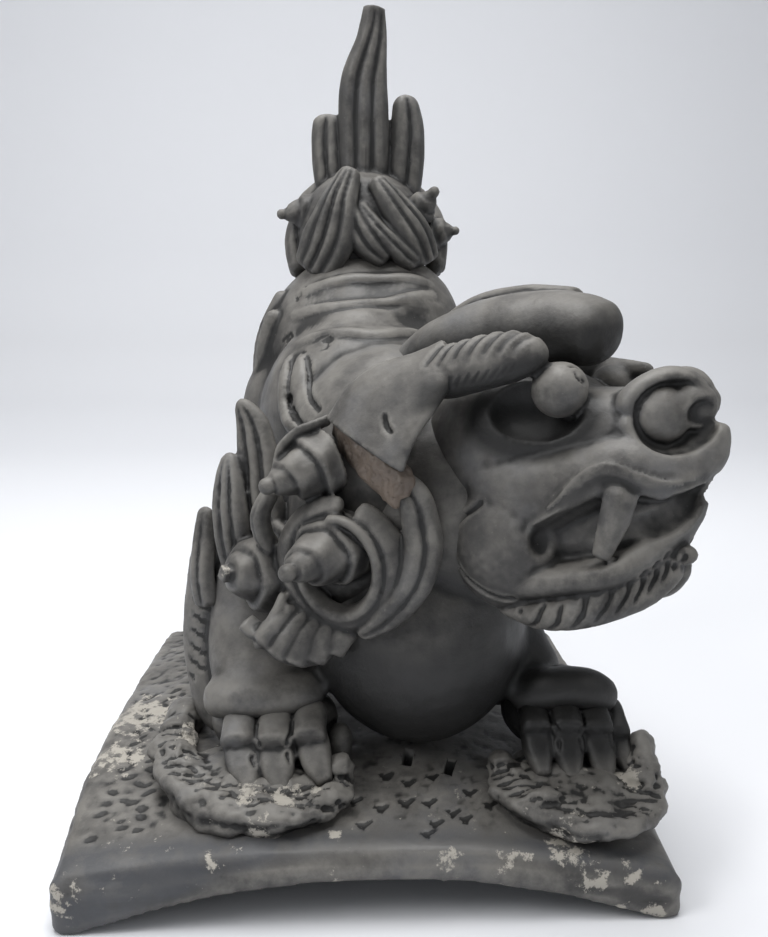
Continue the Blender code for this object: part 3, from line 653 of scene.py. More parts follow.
# %% Front paws
def paw(pile, centre, instep, toes):
    """A paw: its instep and, for each toe, a blocky knuckle and a wedge of claw set back under it."""
    ball(pile, centre, instep)
    for knuckle, tip, half in toes:
        knuckle, tip = Vector(knuckle), Vector(tip)
        back = knuckle + Vector((0, 18, 3))
        roll(pile, [back, knuckle.lerp(back, 0.4), knuckle + Vector((0, -3.5, -1.5))], [half, half, half],
             [7.5, 7, 5.4], (0, 0, 1), around=32, along=24, cap=0.22, square=0.75)
        root = knuckle + Vector((0, 5, -6))
        roll(pile, [root + Vector((0, 3, 4)), root.lerp(tip, 0.4) + Vector((0, -1, 0)), tip],
             [half * 0.98, half * 0.97, half * 0.42], [6.5, 5.8, 2.6], (0, -0.8, 0.5), around=32, along=28, cap=0.1,
             square=0.7)


pile = []
paw(pile, (-46, 72, 58), (30, 24, 18),
    [((-60, 42, 63), (-52.5, 27, 47), 7.6), ((-43.7, 40, 63.5), (-39.5, 26, 46), 8),
     ((-28, 42, 65), (-20.5, 30, 48), 7.4)])
paw(pile, (90, 80, 58), (27, 24, 20),
    [((74.5, 49, 64), (76, 35, 47), 6.6), ((88.5, 47, 65), (88.6, 33, 46), 7),
     ((102.6, 49, 63), (104.5, 34, 43.5), 7), ((114, 54, 58), (116, 42, 43.5), 5)])
ball(pile, (-15, 58, 52), (6, 9, 10), around=20)
paws = fuse(pile, "paws", 1)
carve(paws, [([(x, y + 8, z + 6), (x, y - 3, z + 2), (x + 1, y - 6, z - 5)], 1.3, 1.6)
             for x, y, z in ((-51.8, 38, 62), (-35.8, 38, 63), (81.5, 45, 63), (95.5, 45, 62), (109, 49, 58))])
roughen(paws, 9, 0.35)
grit(paws, 0.12)


def paw_soot(rows):
    """Painted shadow on the paw that stands in the shade of the head."""
    return between(rows[:, 0], 20, 50) * between(rows[:, 2], 48, 56)


finish_piece(paws, "front_paws", soot=paw_soot)

# %% [markdown]
# ## The head
# It is worked in its own frame, x towards the nose and y to its left, and then turned into place. The soft
# masses are smoothed together first. The eye sockets, the mouth and the nostrils are cut into them, and the
# eyeballs, brows, forelock, fangs, beard and ears are laid on last and stay crisp.

# %% Where the head sits
HEAD = (66, 62, 180)
HEAD_YAW, HEAD_PITCH, HEAD_TILT = 52, 12, -5
yaw, pitch, tilt = (math.radians(angle) for angle in (HEAD_YAW, HEAD_PITCH, HEAD_TILT))
forward = Vector((math.sin(yaw), -math.cos(yaw), 0))
nose = math.cos(pitch) * forward + math.sin(pitch) * Vector((0, 0, 1))
crown = -math.sin(pitch) * forward + math.cos(pitch) * Vector((0, 0, 1))
left = Vector((math.cos(yaw), math.sin(yaw), 0))
ear = math.cos(tilt) * left + math.sin(tilt) * crown
crown = -math.sin(tilt) * left + math.cos(tilt) * crown
head_matrix = Matrix.Translation(mm(*HEAD)) @ Matrix((nose, ear, crown)).transposed().to_4x4()

# %% [markdown]
# Both lips follow a plan seen from above and a list of heights, so the mouth that is cut out later follows the
# same lines. The nose is two slanting sides with a ring on each, and each side has a flat frame of its own.

# %% The soft masses
UPPER_PLAN = [(18.5, -34.5), (31.5, -34), (44, -33), (54, -31), (63, -27), (71, -20), (78, -11), (82, 0)]
LOWER_PLAN = [(18.5, -34.5), (31.5, -34), (44, -32), (54, -28.5), (61, -24), (67, -17), (72, -10), (78, 0)]
UPPER_CREST = [-20.5, -13, -2, 1.5, -3, -7.8, -8.6, -8]
UPPER_INNER = [-22, -17, -12.5, -9.5, -13, -14.4, -11.9, -9.5]
LOWER_RIM = [-35, -38.5, -39.5, -36, -33, -31, -27, -12]
NOSE_START = (60.5, 20)
NOSE_TURN = 32.8
nose_turn = math.radians(NOSE_TURN)


def along_lip(plan, heights, side, out):
    """A lip's line at some heights, moved outwards from its plan by out."""
    plan = np.array(plan, float)
    step = np.gradient(plan, axis=0)
    normal = unit(np.stack([step[:, 1], -step[:, 0]], 1))
    plan = plan + normal * out
    return [(x, -side * y, z) for (x, y), z in zip(plan, heights)], [(nx, -side * ny, 0) for nx, ny in normal]


def on_nose(rows, side):
    """Points of one slanting side of the nose: along it, out of it, and up."""
    return [(NOSE_START[0] + u * math.cos(nose_turn) + w * math.sin(nose_turn),
             side * (NOSE_START[1] - u * math.sin(nose_turn) + w * math.cos(nose_turn)), z) for u, w, z in rows]


def off_nose(side):
    """The direction straight out of one side of the nose."""
    return (math.sin(nose_turn), side * math.cos(nose_turn), 0)


def nose_ball(pile, centre, radii, side, around=32):
    ball(pile, on_nose([centre], side)[0], radii, (0, 0, -side * NOSE_TURN), around)


pile = []
ball(pile, (-6, 0, 10), (36, 38, 42))
roll(pile, [(-5, 0, 12), (15, 0, 18), (34, 0, 14), (48, 0, 12.5), (60, 0, 13), (70, 0, 14), (80, 0, 14)],
     [37, 35, 29, 25, 19, 14, 8], [34, 27, 20, 18.5, 18, 18, 15], (0, 0, 1), around=32, square=0.8)
roll(pile, [(-10, 0, -8), (8, 0, -8), (26, 0, -6), (44, 0, -2), (56, 0, 0), (66, 0, -3), (75, 0, -4), (83, 0, -4)],
     [38, 37.5, 35, 33.5, 30.5, 25.5, 17, 9], [30, 26, 20, 15, 13, 12, 11, 9], (0, 0, 1), around=40, square=0.7)
roll(pile, [(-4, 0, -44), (12, 0, -44.5), (30, 0, -43.5), (44, 0, -42), (54, 0, -38.5), (61, 0, -34), (67, 0, -28.5),
            (73, 0, -21), (77, 0, -14)], [34, 35, 34.5, 33, 29, 23, 15, 10, 6], [11, 9, 8, 8, 7.5, 6.5, 5.5, 5.5, 5],
     [(0, 0, 1), (0, 0, 1), (-0.1, 0, 1), (-0.2, 0, 1), (-0.3, 0, 1), (-0.5, 0, 1), (-0.8, 0, 1), (-1, 0, 0.6),
      (-1, 0, 0.5)], around=40, square=0.7)
roll(pile, [(-4, 0, -20), (28, 0, -24), (46, 0, -24), (60, 0, -22), (71, 0, -18)], [32, 25, 23, 18, 9],
     [26, 22, 20, 17, 12], (0, 0, 1), around=32)
RING_DEPTH = -4
ring = [(-1, 19), (-0.5, 14), (2, 9.5), (7, 4.5), (13, 1), (20, -1.5), (26, -1.5), (31, 1.5), (33.5, 7), (34.5, 13)]
hood = [(-1, 19), (1, 25), (6, 28.5), (11, 30.5), (17, 31.5), (22, 30.5), (25.5, 28), (28.5, 24.5), (29.5, 20.5)]
ring, hood = ([(u, RING_DEPTH, z) for u, z in line] for line in (ring, hood))
for side in (-1, 1):
    ball(pile, (1, side * 21, -26), (26, 20, 31))
    nose_ball(pile, (16, -9, 16), (16, 10, 17.5), side)
    out = off_nose(side)
    roll(pile, on_nose(ring, side), [3.5, 3.5, 4.5, 5.5, 6.5, 7.5, 7.5, 6, 4.5, 3.5], [6, 7], out, along=48)
    roll(pile, on_nose(hood, side), [3.5, 4, 4.5, 4.5, 4.5, 4.5, 4.5, 4, 3.5], [6, 7, 6], out, along=48)
    path, out = along_lip(UPPER_PLAN, np.array(UPPER_CREST) - 2.5, side, -2.4)
    roll(pile, path, [4, 4, 4.5, 4.5, 4.5, 4.5, 4, 4], [3.5, 4, 4, 4, 4, 4, 4, 4], out, along=48)
skull = fuse(pile, "skull", 7)

# %% Sockets, mouth and nostrils are cut out
for side in (-1, 1):
    hollows = []
    ball(hollows, (29.5, side * 37, 26.5), (22, 18.5, 15.5), (0, 8, 0))
    upper, out = along_lip(UPPER_PLAN, UPPER_INNER, side, 3)
    lower = along_lip(LOWER_PLAN, LOWER_RIM, side, 3)[0]
    height = (np.array(UPPER_INNER) - np.array(LOWER_RIM)) / 2
    roll(hollows, (np.array(upper) + np.array(lower)) / 2, height, [9, 12, 13, 13, 12, 11, 9, 7], out, along=64,
         around=40, cap=0.1, square=0.85)
    nose_ball(hollows, (17.3, 3, 16.2), (16.8, 11, 14.8), side, 48)
    nose_ball(hollows, (39, 0, 19.5), (8, 14, 5), side)
    for hollow in hollows:
        cut(skull, [hollow])

# %% What is laid on
EYE = (36.5, 27, 32)
EYE_RADIUS = 11.3


def nostril(side):
    """The egg inside the nostril's ring, its far end scooped out."""
    pile = []
    nose_ball(pile, (13.8, -3.8, 17.8), (10.6, 8, 11), side, 40)
    nose_ball(pile, (25.6, -3.8, 20), (9.2, 8, 9), side, 40)
    spine = [(u, RING_DEPTH, z) for u, z in ((7, 17.5), (14, 18), (22, 19.5), (30, 20))]
    roll(pile, on_nose(spine, side), [7, 9, 7.5, 5], [6, 7.5, 7, 5], off_nose(side), around=32, cap=0.2)
    egg = fuse(pile, "egg", 3)
    scoop = []
    nose_ball(scoop, (27.6, 4.5, 14.8), (7, 8, 7.2), side)
    return cut(egg, scoop)


pile = []
add_shape(pile, skull)
for side in (-1, 1):
    add_shape(pile, nostril(side))
    ball(pile, (EYE[0], side * EYE[1], EYE[2]), (EYE_RADIUS, EYE_RADIUS, 11), around=40)
    fang = sided([(57.5, 26, -7), (56, 27, -14), (52, 28.5, -24), (47, 30, -35)], side)
    roll(pile, fang, [6.8, 6.6, 5.6, 3.4], [5, 5, 4.5, 3.0], (0.45, side, 0), cap=0.06, square=1.3)
    beard = sided([(-4, 25, -55), (14, 26, -57.5), (30, 25.5, -57), (43, 22.5, -54), (52, 17.5, -50),
                   (58.5, 11.5, -44.5), (63, 5.5, -39), (65, 0, -36.5)], side)
    roll(pile, beard, [2.5, 5.5, 7, 7.5, 9, 10, 10, 9], [3, 6, 7, 7, 6, 5, 5, 4], (0.2, side, -0.25), along=48)
ball(pile, (70.5, -3, -38), (5, 4.5, 4), around=20)
# The brow on the near side, and the sharper one on the far side.
roll(pile, [(-17, -39, 40), (-6, -41, 44), (10, -41, 46), (25, -38, 47), (37, -33, 46)], [6, 10.5, 11, 10, 4.5],
     [8, 10, 10, 9, 5], (0, -1, 0.2), cap=0.2, around=40, along=48)
roll(pile, [(-17, 39, 40), (0, 38, 43), (20, 33, 41), (38, 28, 39), (56, 23, 37)], [6, 10, 8, 6, 3],
     [8, 9, 8, 6, 2.5], (0, 1, 0.4), cap=0.1, around=40, along=48, square=1.3)
# The forelock, and the blade that lies along its top.
roll(pile, [(-58, 0, 52), (-36, 0, 58), (-12, 0, 61), (12, 0, 61), (34, -2, 57), (52, -3, 50)],
     [12, 18, 21, 21, 19, 14], [9, 14, 16, 16, 15, 12], (0, -0.15, 1), around=40, along=56, cap=0.2, square=0.9)
roll(pile, [(-48, 10, 66), (-20, 12, 77), (8, 12, 78), (33, 10, 72)], [5, 8, 8, 7], [3, 4, 3.5, 3], (0, 0.2, 1),
     cap=0.06)
# The near ear, which ends in a break, and the whole far ear.
roll(pile, [(-2, -38, 52), (-15, -48, 43), (-29, -57, 32), (-38.5, -61.5, 18.5)], [11, 18, 23, 25.5],
     [7, 6, 5.5, 5.5], [(-0.2, -0.7, 0.6), (-0.2, -0.9, 0.3), (-0.1, -1, 0.2), (-0.1, -1, 0.1)], cap=0.05, around=40)
roll(pile, [(-6, 38, 50), (-20, 50, 38), (-32, 56, 20), (-36, 57, -2), (-34, 52, -24)], [10, 16, 18, 15, 5],
     [7, 6, 5.5, 5, 4], [(-0.3, 0.6, 0.7), (-0.5, 0.7, 0.5), (-0.4, 0.9, 0.2), (-0.3, 1, 0), (-0.3, 1, 0)],
     cap=0.3, around=32)
head = fuse(pile, "head", 1)

# %% Combed brows, grooved beard, cheek crease
BEARD = [((21, 30, -54), (12, 30, -63)), ((29, 30, -54), (22, 30, -63)), ((39, 28, -51.5), (32, 29, -61)),
         ((49, 26, -48), (41, 27, -58.5)), ((55.5, 23, -46), (49, 25, -56)), ((61, 20, -42.5), (56, 22, -53)),
         ((65.5, 16, -40.5), (61.5, 19, -50)), ((69, 12.5, -38), (66, 15, -47)), ((72, 9, -35.5), (70, 11, -43))]
PUPIL = [[(45.2, 30.5, 37.5), (46.4, 30.4, 34.7), (47.3, 27.4, 32.6)], [(46.8, 28.4, 35), (47.6, 26.5, 33.5)],
         [(44, 31, 41), (45.5, 28, 41.5), (46.5, 26, 40)]]
strokes = [([(x + 3, -34, 59), (x + 2, -41, 56), (x - 1, -47, 52), (x - 3, -50, 48)], 2.3, 1.0)
           for x in np.linspace(-6, 32.4, 7)]
strokes += [([(x, -50, 42), (x - 5, -49, 37)], 0.8, 0.7) for x in np.linspace(2, 31.4, 8)]
strokes.append(([(-24, -61, 29), (-22.5, -61, 24), (-20.5, -61, 22)], 1.5, 2.4))
for side in (-1, 1):
    for top, end in BEARD:
        middle = Vector(top).lerp(Vector(end), 0.5) + Vector((1.5, 0, 0))
        strokes.append((sided([top, tuple(middle), end], side), 1.7, 1.9))
    strokes += [(sided(mark, side), 0.9, 1.2) for mark in PUPIL]
    crease = sided([(1, 42, -9), (-13, 40, -17), (-18, 38, -28), (-13, 38, -41), (1, 38, -52), (9, 36, -54)], side)
    hollow_of_lip = np.array(UPPER_CREST) * 0.4 + np.array(UPPER_INNER) * 0.6
    strokes += [(crease, 1.6, 2.6), (along_lip(UPPER_PLAN, hollow_of_lip, side, 1)[0], 3.6, 1.0),
                (along_lip(UPPER_PLAN, UPPER_CREST, side, 1)[0], 1.3, -0.6)]
carve(head, strokes)
roughen(head, 14, 0.4)
grit(head, 0.1)
head.data.transform(head_matrix)
to_head = np.array(head_matrix.to_3x3())


def head_soot(rows):
    """Painted shade in the eye sockets and under the near brow and the forelock."""
    x, y, z = ((rows - HEAD) @ to_head).T
    folded = np.stack([x, np.abs(y), z], 1)
    off_eye = np.linalg.norm(folded - EYE, axis=1) - EYE_RADIUS
    socket = np.clip(5 - 3.4 * np.linalg.norm((folded - (27, 34, 26)) / (23, 18, 16), axis=1), 0, 1)
    socket = socket * between(off_eye, 0.3, 1.1)
    lock = between(z, 69, 55) * between(z, 36, 40) * between(np.abs(y), 25, 21) * between(x, -50, -30)
    brow = between(z, 44, 39) * between(z, 28, 32) * between(y, -38, -41) * between(x, -14, -8)
    return np.max([socket, 0.85 * lock, 0.9 * brow], axis=0)


finish_piece(head, "head", soot=head_soot)

# %% [markdown]
# The near ear has lost its tip, and the break shows the tan clay under the smoked skin, full of small pits. It
# is a mesh of its own, so that it can have a finer skin and a bare material.

# %% The broken ear
PITS = 46
pile = []
roll(pile, [(-57, -50.5, 30), (-47, -52.5, 20), (-34, -55, 9), (-21, -57, -3)], [5, 8.5, 9.5, 8], [5, 6.5, 6.5, 5],
     (-0.3, -0.92, -0.2), around=56, along=64, cap=0.08, square=0.6)
ear_end = fuse(pile, "ear_end")
pits = []
for index in range(PITS):
    place_along = (index % (PITS // 2) + 0.5) / (PITS // 2)
    slip = 5.5 * math.sin(index * 2.4)
    x, y, z = spline([(-54, -60, 27), (-36, -64, 10), (-20, -66, -4)], [place_along])[0] + (slip * 0.7, 0, slip)
    pits.append(([(x, y, z), (x + 0.5, y, z + 0.6)], 0.5 + 0.4 * (index % 3), 0.9))
carve(ear_end, pits, 0.1)
roughen(ear_end, 6, 1.3, 2.0)
roughen(ear_end, 2.2, 0.35, 4.0)
ear_end.data.transform(head_matrix)
finish_piece(ear_end, "ear_end")


# %% [markdown]
# ## Mane and tail
# The mane is a large curl with a conch standing in it, two smaller conches, and flame locks that lie flat
# against the shoulder. A conch is a sphere stretched between two points, with its radius stepped down once in
# each turn, and a lock is a flat roll with flutes.

# %% The mane
def ringed_conch(pile, centre, axis, radius, base, point, foot, flip=1):
    """A conch that stands in a ring: a flat band lies round it and winds in as a thin strand to its foot."""
    centre, axis = Vector(centre), Vector(axis).normalized()
    reach = radius - 4.2
    path, out = loop(centre, axis, (reach, reach, 1.0), (75, 75 - 350 * flip), (0, 0), 24)
    out = [way + (spot - centre).normalized() * 0.65 for way, spot in zip(out, path)]
    roll(pile, path, [5.0, 6.0, 6.0, 5.4, 5.0, 4.4], [3.2, 3.2], out, around=32, along=96, square=0.7, cap=0.05)
    path, out = loop(centre, axis, (0.6 * radius, 0.7 * radius, 0.95), (105, 105 - 300 * flip), (4, 0), 20)
    roll(pile, path, [2.4, 2.6, 2.6, 2.0], [5, 5], out, around=24, along=72, square=0.8, cap=0.08)
    turban(pile, base, point, foot, 2.7, -flip, 3.9)
    ball(pile, centre - axis * 20, (radius * 0.85, radius * 0.55, radius * 0.9))


OFF_SHOULDER = (-0.45, -0.85, 0.2)
pile = []
ball(pile, (-6, 80, 150), (34, 26, 46))
ball(pile, (15, 55, 148), (15, 17, 30))
ringed_conch(pile, (-13.4, 43, 143.2), (-0.38, -0.92, 0), 30.6, (-13, 51, 151), (-33.5, 24, 147.3), 16.5)
roll(pile, [(8, 40, 184), (16.9, 33, 176), (20.1, 32, 165), (21.1, 31, 152.8), (17, 31, 138), (6, 33, 123.5),
            (-6, 38, 114)], [5, 7, 8, 8, 7.5, 6, 3], [5, 5, 5, 4], (0.05, -1, -0.1), flutes=2, groove=0.4, around=56,
     along=56, square=0.75)
turban(pile, (-19, 59, 186), (-42.6, 44, 178.8), 15.6, 2.6, -1, 3.7)
roll(pile, [(-40.5, 50, 183), (-38, 51, 193), (-31.5, 53, 199.3), (-24, 56, 202), (-17, 60, 204)], [1.5, 1.7, 1.5],
     [3, 3], (-0.6, -0.7, 0.5), around=20, along=48)
turban(pile, (-36, 77, 131), (-63.5, 57, 136), 25, 2.6, -1, 0)
block(pile, (-64, 56, 136), (5.5, 6, 6.5), (20, 10, 40))
roll(pile, [(-43, 54, 174), (-48, 55, 164), (-47.5, 57, 154), (-43, 60, 145)], [3.2, 3.8, 3.8, 3],
     [5, 5], (-0.7, -0.7, 0), flutes=2, groove=0.5, around=40, along=48)
for path in ([(-37, 50, 128), (-40, 47, 122.5), (-44.5, 46, 116), (-50, 46, 113), (-56, 48, 117)],
             [(-35, 48, 124), (-39, 45, 116), (-45, 44, 110.5), (-51, 45, 108.5)]):
    roll(pile, path, [2.4, 2.8, 2.8, 2.4], [5, 5], (-0.5, -0.85, -0.3), around=24, along=40, square=0.75, cap=0.06)
for top, middle, end in (((-34, 50, 122), (-41, 44, 116), (-48, 43, 108.5)),
                         ((-27, 50, 120), (-34.5, 42, 112.5), (-42, 41, 103.5)),
                         ((-20, 49, 118), (-28, 41, 111), (-34, 39, 100.5)),
                         ((-13, 49, 117), (-20.5, 41, 111), (-25.5, 39, 101.5)),
                         ((-8, 49, 117), (-13, 42, 112), (-17.5, 40.5, 105))):
    roll(pile, [top, middle, end], [5.2, 5.6, 5.4], [5, 5], (-0.2, -0.95, -0.25), around=32, along=32, cap=0.06,
         square=0.8)
roll(pile, [(-47, 45, 111), (-40, 43, 106), (-32, 41.5, 103.5), (-24, 41.5, 104.5), (-16, 43, 108)],
     [4, 5, 5, 5, 4], [5, 6], (-0.2, -0.95, -0.25), around=28, along=48, cap=0.2)
flame(pile, [(-44, 76, 146), (-50, 78, 163), (-51.5, 82, 181), (-54.5, 86, 197), (-60, 88, 209)], 11, 6,
      OFF_SHOULDER, shape=(0.8, 1.0, 1.0, 0.8, 0.25))
flame(pile, [(-55, 74, 118), (-62, 76, 137), (-64.5, 77, 155), (-65, 80, 172), (-64.5, 84, 185)], 9.6, 6,
      OFF_SHOULDER, shape=(0.7, 1, 1, 0.8, 0.3))
flame(pile, [(-79, 86, 108), (-81, 90, 124), (-80, 94, 140), (-79, 97, 156)], 6.5, 5, OFF_SHOULDER, 2,
      (0.9, 1, 0.95, 0.6))
ringed_conch(pile, (64, 118, 146), (0.85, 0.5, 0), 25, (58, 114, 148), (90, 132, 146), 15, -1)
turban(pile, (38, 128, 186), (58, 142, 192), 15, 2.4, 1)
flame(pile, [(30, 112, 200), (36, 126, 210), (42, 140, 218), (46, 154, 226)], 12, 7, (0.6, 0.2, 0.8))
flame(pile, [(46, 124, 156), (58, 140, 160), (62, 150, 168), (63, 160, 180)], 11, 7, (0.9, 0.4, 0.2))
mane = fuse(pile, "mane", 1)
roughen(mane, 11, 0.3)
grit(mane, 0.1)
finish_piece(mane, "mane", lime=near_spots((-66, 54, 136, 6)))

# %% [markdown]
# The tail is a sheaf of fluted bands bent over a ball, with three plumes standing up out of it. Each band turns
# its flutes away from the middle of the ball, wherever it lies.

# %% The tail
TAIL_MIDDLE = (-3, 202, 286)
pile = []
ball(pile, (-3, 198, 286), (36, 30, 34))
ball(pile, (0, 216, 284), (32, 25, 30))
bands = [([(-8, 176, 319), (-15, 172, 303), (-21, 171, 283), (-31, 174, 264)], [5, 10.5, 15.5, 12], 4),
         ([(3, 176, 314), (14, 172, 299), (25, 172, 284), (32, 174, 269)], [4.5, 8.5, 11, 9], 3),
         ([(-5, 174, 300), (4, 170, 288), (16, 168, 276), (26, 168, 268)], [3, 5, 6, 5], 2),
         ([(-9, 173, 302), (-7, 170, 291), (-1, 168, 280), (10, 168, 270)], [3, 6.5, 7.5, 5], 2),
         ([(-20, 214, 316), (-34, 214, 300), (-40, 206, 280), (-38, 196, 262)], [6, 10, 12, 9], 3),
         ([(16, 218, 316), (32, 214, 300), (38, 206, 282), (38, 196, 264)], [6, 10, 12, 9], 3),
         ([(-2, 226, 318), (-6, 236, 302), (-12, 238, 284), (-16, 232, 264)], [7, 11, 13, 11], 3),
         ([(6, 226, 316), (12, 234, 300), (18, 234, 282), (20, 228, 264)], [6, 10, 12, 10], 3)]
for path, widths, flutes in bands:
    roll(pile, path, widths, [5, 7, 7, 5], away(path, TAIL_MIDDLE), flutes=flutes, groove=0.5, around=64)
turban(pile, (-29, 195, 297.5), (-46, 190.5, 296), 10.5, 2.3, 1, 2.9)
turban(pile, (27, 185, 297), (34.5, 179, 306), 9.6, 2.3, -1, 2.9)
turban(pile, (35, 195, 286), (47, 190, 287), 9.8, 2.3, -1, 2.8)
roll(pile, [(-2, 198, 296), (-2, 198, 330), (-2, 198, 362), (2.5, 197, 386), (4, 196, 403)], [12, 13.5, 13, 8.5, 5.8],
     [9, 9, 8, 6, 4.5], [(0, -1, 0), (0, -1, 0), (0.1, -1, 0), (0.3, -1, 0), (0.7, -1, 0)], flutes=3, groove=0.45,
     around=64, along=64, cap=0.02, square=0.75)
roll(pile, [(-18, 202, 296), (-21, 202, 318), (-22, 203, 336), (-21.5, 203, 350)], [8, 9.5, 9.5, 8.5], [7, 7, 6, 4],
     (-0.3, -1, 0), flutes=2, groove=0.5, around=48, along=48, cap=0.25)
roll(pile, [(16, 202, 290), (20, 202, 314), (22, 203, 340), (20.5, 203, 360)], [9, 11, 10, 6.5], [7, 7, 6, 4],
     (0.3, -1, 0), flutes=2, groove=0.5, around=48, along=48, cap=0.2)
tail = fuse(pile, "tail", 1)
roughen(tail, 12, 0.5, stretch=(1, 1, 0.4))
grit(tail, 0.14, (1, 1, 0.35))
finish_piece(tail, "tail")

# %% [markdown]
# ## Smoked clay
# One shader group mixes the tones of the fired clay from what each piece keeps about its surface: how far a
# point stands proud of its surroundings, and which way it faces. It gives out a colour, with painted shade in
# hollows and on faces that look down and painted light on faces that look up, a roughness and a height for the grain.

# %% The group
MEASURES = ("Fine", "Broad", "Up", "Dark", "Mortar", "Lime", "Smoke", "Bare", "PaintedShade")


def new_group():
    group = bpy.data.node_groups.new("smoked_clay", "ShaderNodeTree")
    for name in MEASURES:
        group.interface.new_socket(name, in_out="INPUT", socket_type="NodeSocketFloat")
    for name, kind in (("Color", "Color"), ("Roughness", "Float"), ("Height", "Float")):
        group.interface.new_socket(name, in_out="OUTPUT", socket_type="NodeSocket" + kind)
    return group


class Wires:
    """Adds nodes to a tree and joins them, so that each line below reads as one step."""

    def __init__(self, tree):
        self.tree = tree

    def node(self, kind, **settings):
        made = self.tree.nodes.new(kind)
        for name, value in settings.items():
            setattr(made, name, value)
        return made

    def put(self, socket, value):
        if isinstance(value, bpy.types.NodeSocket):
            self.tree.links.new(value, socket)
        else:
            socket.default_value = value

    def math(self, operation, a, b, clamp=False):
        made = self.node("ShaderNodeMath", operation=operation, use_clamp=clamp)
        self.put(made.inputs[0], a)
        self.put(made.inputs[1], b)
        return made.outputs[0]

    def times(self, a, b):
        return self.math("MULTIPLY", a, b)

    def plus(self, a, b):
        return self.math("ADD", a, b)

    def ramp(self, value, low, high, to_low=0.0, to_high=1.0):
        made = self.node("ShaderNodeMapRange", clamp=True)
        for socket, given in zip(made.inputs, (value, low, high, to_low, to_high)):
            self.put(socket, given)
        return made.outputs[0]

    def mix(self, factor, a, b):
        made = self.node("ShaderNodeMix", data_type="RGBA")
        self.put(made.inputs[0], factor)
        self.put(made.inputs[6], a)
        self.put(made.inputs[7], b)
        return made.outputs[2]

    def grain(self, vector, scale, detail, rough=0.6):
        made = self.node("ShaderNodeTexNoise")
        for name, given in (("Vector", vector), ("Scale", scale), ("Detail", detail), ("Roughness", rough)):
            self.put(made.inputs[name], given)
        return made.outputs["Fac"]


# Linear colours.
# Near black, painted as shade in hollows, on faces that look down and in masked shadows.
PAINTED_SHADE = (0.007, 0.007, 0.007, 1)
DARK_CLAY = (0.050, 0.048, 0.046, 1)
MID_CLAY = (0.106, 0.100, 0.092, 1)
PALE_CLAY = (0.190, 0.181, 0.164, 1)
SILVER = (0.125, 0.130, 0.142, 1)
MORTAR = (0.40, 0.375, 0.33, 1)
SMOKED = (0.042, 0.046, 0.056, 1)
TAN = (0.150, 0.118, 0.094, 1)
DARK_TAN = (0.085, 0.068, 0.056, 1)

clay_group = new_group()
w = Wires(clay_group)
given = w.node("NodeGroupInput").outputs
where = w.node("ShaderNodeTexCoord").outputs["Object"]
blotch = w.grain(where, 22.0, 5.0)
cloud = w.grain(where, 60.0, 6.0, 0.65)
speck = w.grain(where, 700.0, 2.0, 0.7)
dust_and_top_light = w.ramp(given["Up"], -0.25, 0.85)
# Faces that look up are paler, as painted light from above and settled dust, and two sizes of cloud break that up.
lit = w.plus(w.times(dust_and_top_light, 0.62), w.times(w.math("SUBTRACT", cloud, 0.5), 1.3))
lit = w.plus(lit, w.times(w.math("SUBTRACT", blotch, 0.5), 1.2))
lit = w.math("SUBTRACT", lit, given["Dark"], clamp=True)
tone = w.mix(w.ramp(lit, 0.0, 0.45), DARK_CLAY, MID_CLAY)
tone = w.mix(w.ramp(lit, 0.4, 0.95), tone, PALE_CLAY)
tone = w.mix(w.times(w.ramp(blotch, 0.52, 0.72), 0.5), tone, SILVER)
# Edges are rubbed pale, and hollows get painted shade.
worn = w.times(w.ramp(given["Fine"], 0.03, 0.25), w.ramp(cloud, 0.35, 0.6))
tone = w.mix(w.times(worn, 0.75), tone, PALE_CLAY)
hollow_shade = w.math("MAXIMUM", w.ramp(given["Fine"], -0.02, -0.22), w.ramp(given["Broad"], -0.1, -1.2))
tone = w.mix(w.times(hollow_shade, 0.88), tone, PAINTED_SHADE)
tone = w.mix(w.times(w.ramp(speck, 0.68, 0.76), 0.35), tone, PALE_CLAY)
# Faces that look down get painted shade.
tone = w.mix(w.times(w.ramp(given["Up"], 0.1, -0.75), 0.6), tone, PAINTED_SHADE)
# Each piece's own mask of painted shade and shadow.
tone = w.mix(w.times(given["PaintedShade"], 0.93), tone, PAINTED_SHADE)
band = w.times(given["Smoke"], w.ramp(cloud, 0.3, 0.55))
tone = w.mix(w.times(band, 0.75), tone, SMOKED)
# A break shows the fired clay, and lime mortar clings in ragged patches over everything.
fired = w.mix(w.ramp(cloud, 0.35, 0.65), TAN, DARK_TAN)
tone = w.mix(given["Bare"], tone, fired)
clinging = w.plus(w.times(given["Mortar"], 0.12), w.times(given["Lime"], 0.2))
patches = w.ramp(w.plus(w.grain(where, 150.0, 8.0, 0.72), clinging), 0.66, 0.72)
patches = w.times(patches, w.ramp(clinging, 0.0, 0.02))
tone = w.mix(patches, tone, MORTAR)
rough = w.plus(w.ramp(blotch, 0.35, 0.7, 0.62, 0.46), w.times(patches, 0.3))
height = w.plus(w.times(speck, 0.35), w.times(w.grain(where, 260.0, 5.0), 0.65))
result = w.node("NodeGroupOutput").inputs
for name, made in (("Color", tone), ("Roughness", rough), ("Height", height)):
    w.put(result[name], made)


# %% One material for each piece
BUMP_STRENGTH = 0.6
BUMP_HEIGHT = 0.0006
ATTRIBUTES = {"Fine": "edge_fine", "Broad": "edge_broad", "Up": "faces_up", "Lime": "lime", "Smoke": "smoke",
              "PaintedShade": "soot"}


def new_material(name):
    material = bpy.data.materials.new(name)
    material.use_nodes = True
    return material, material.node_tree.nodes["Principled BSDF"]


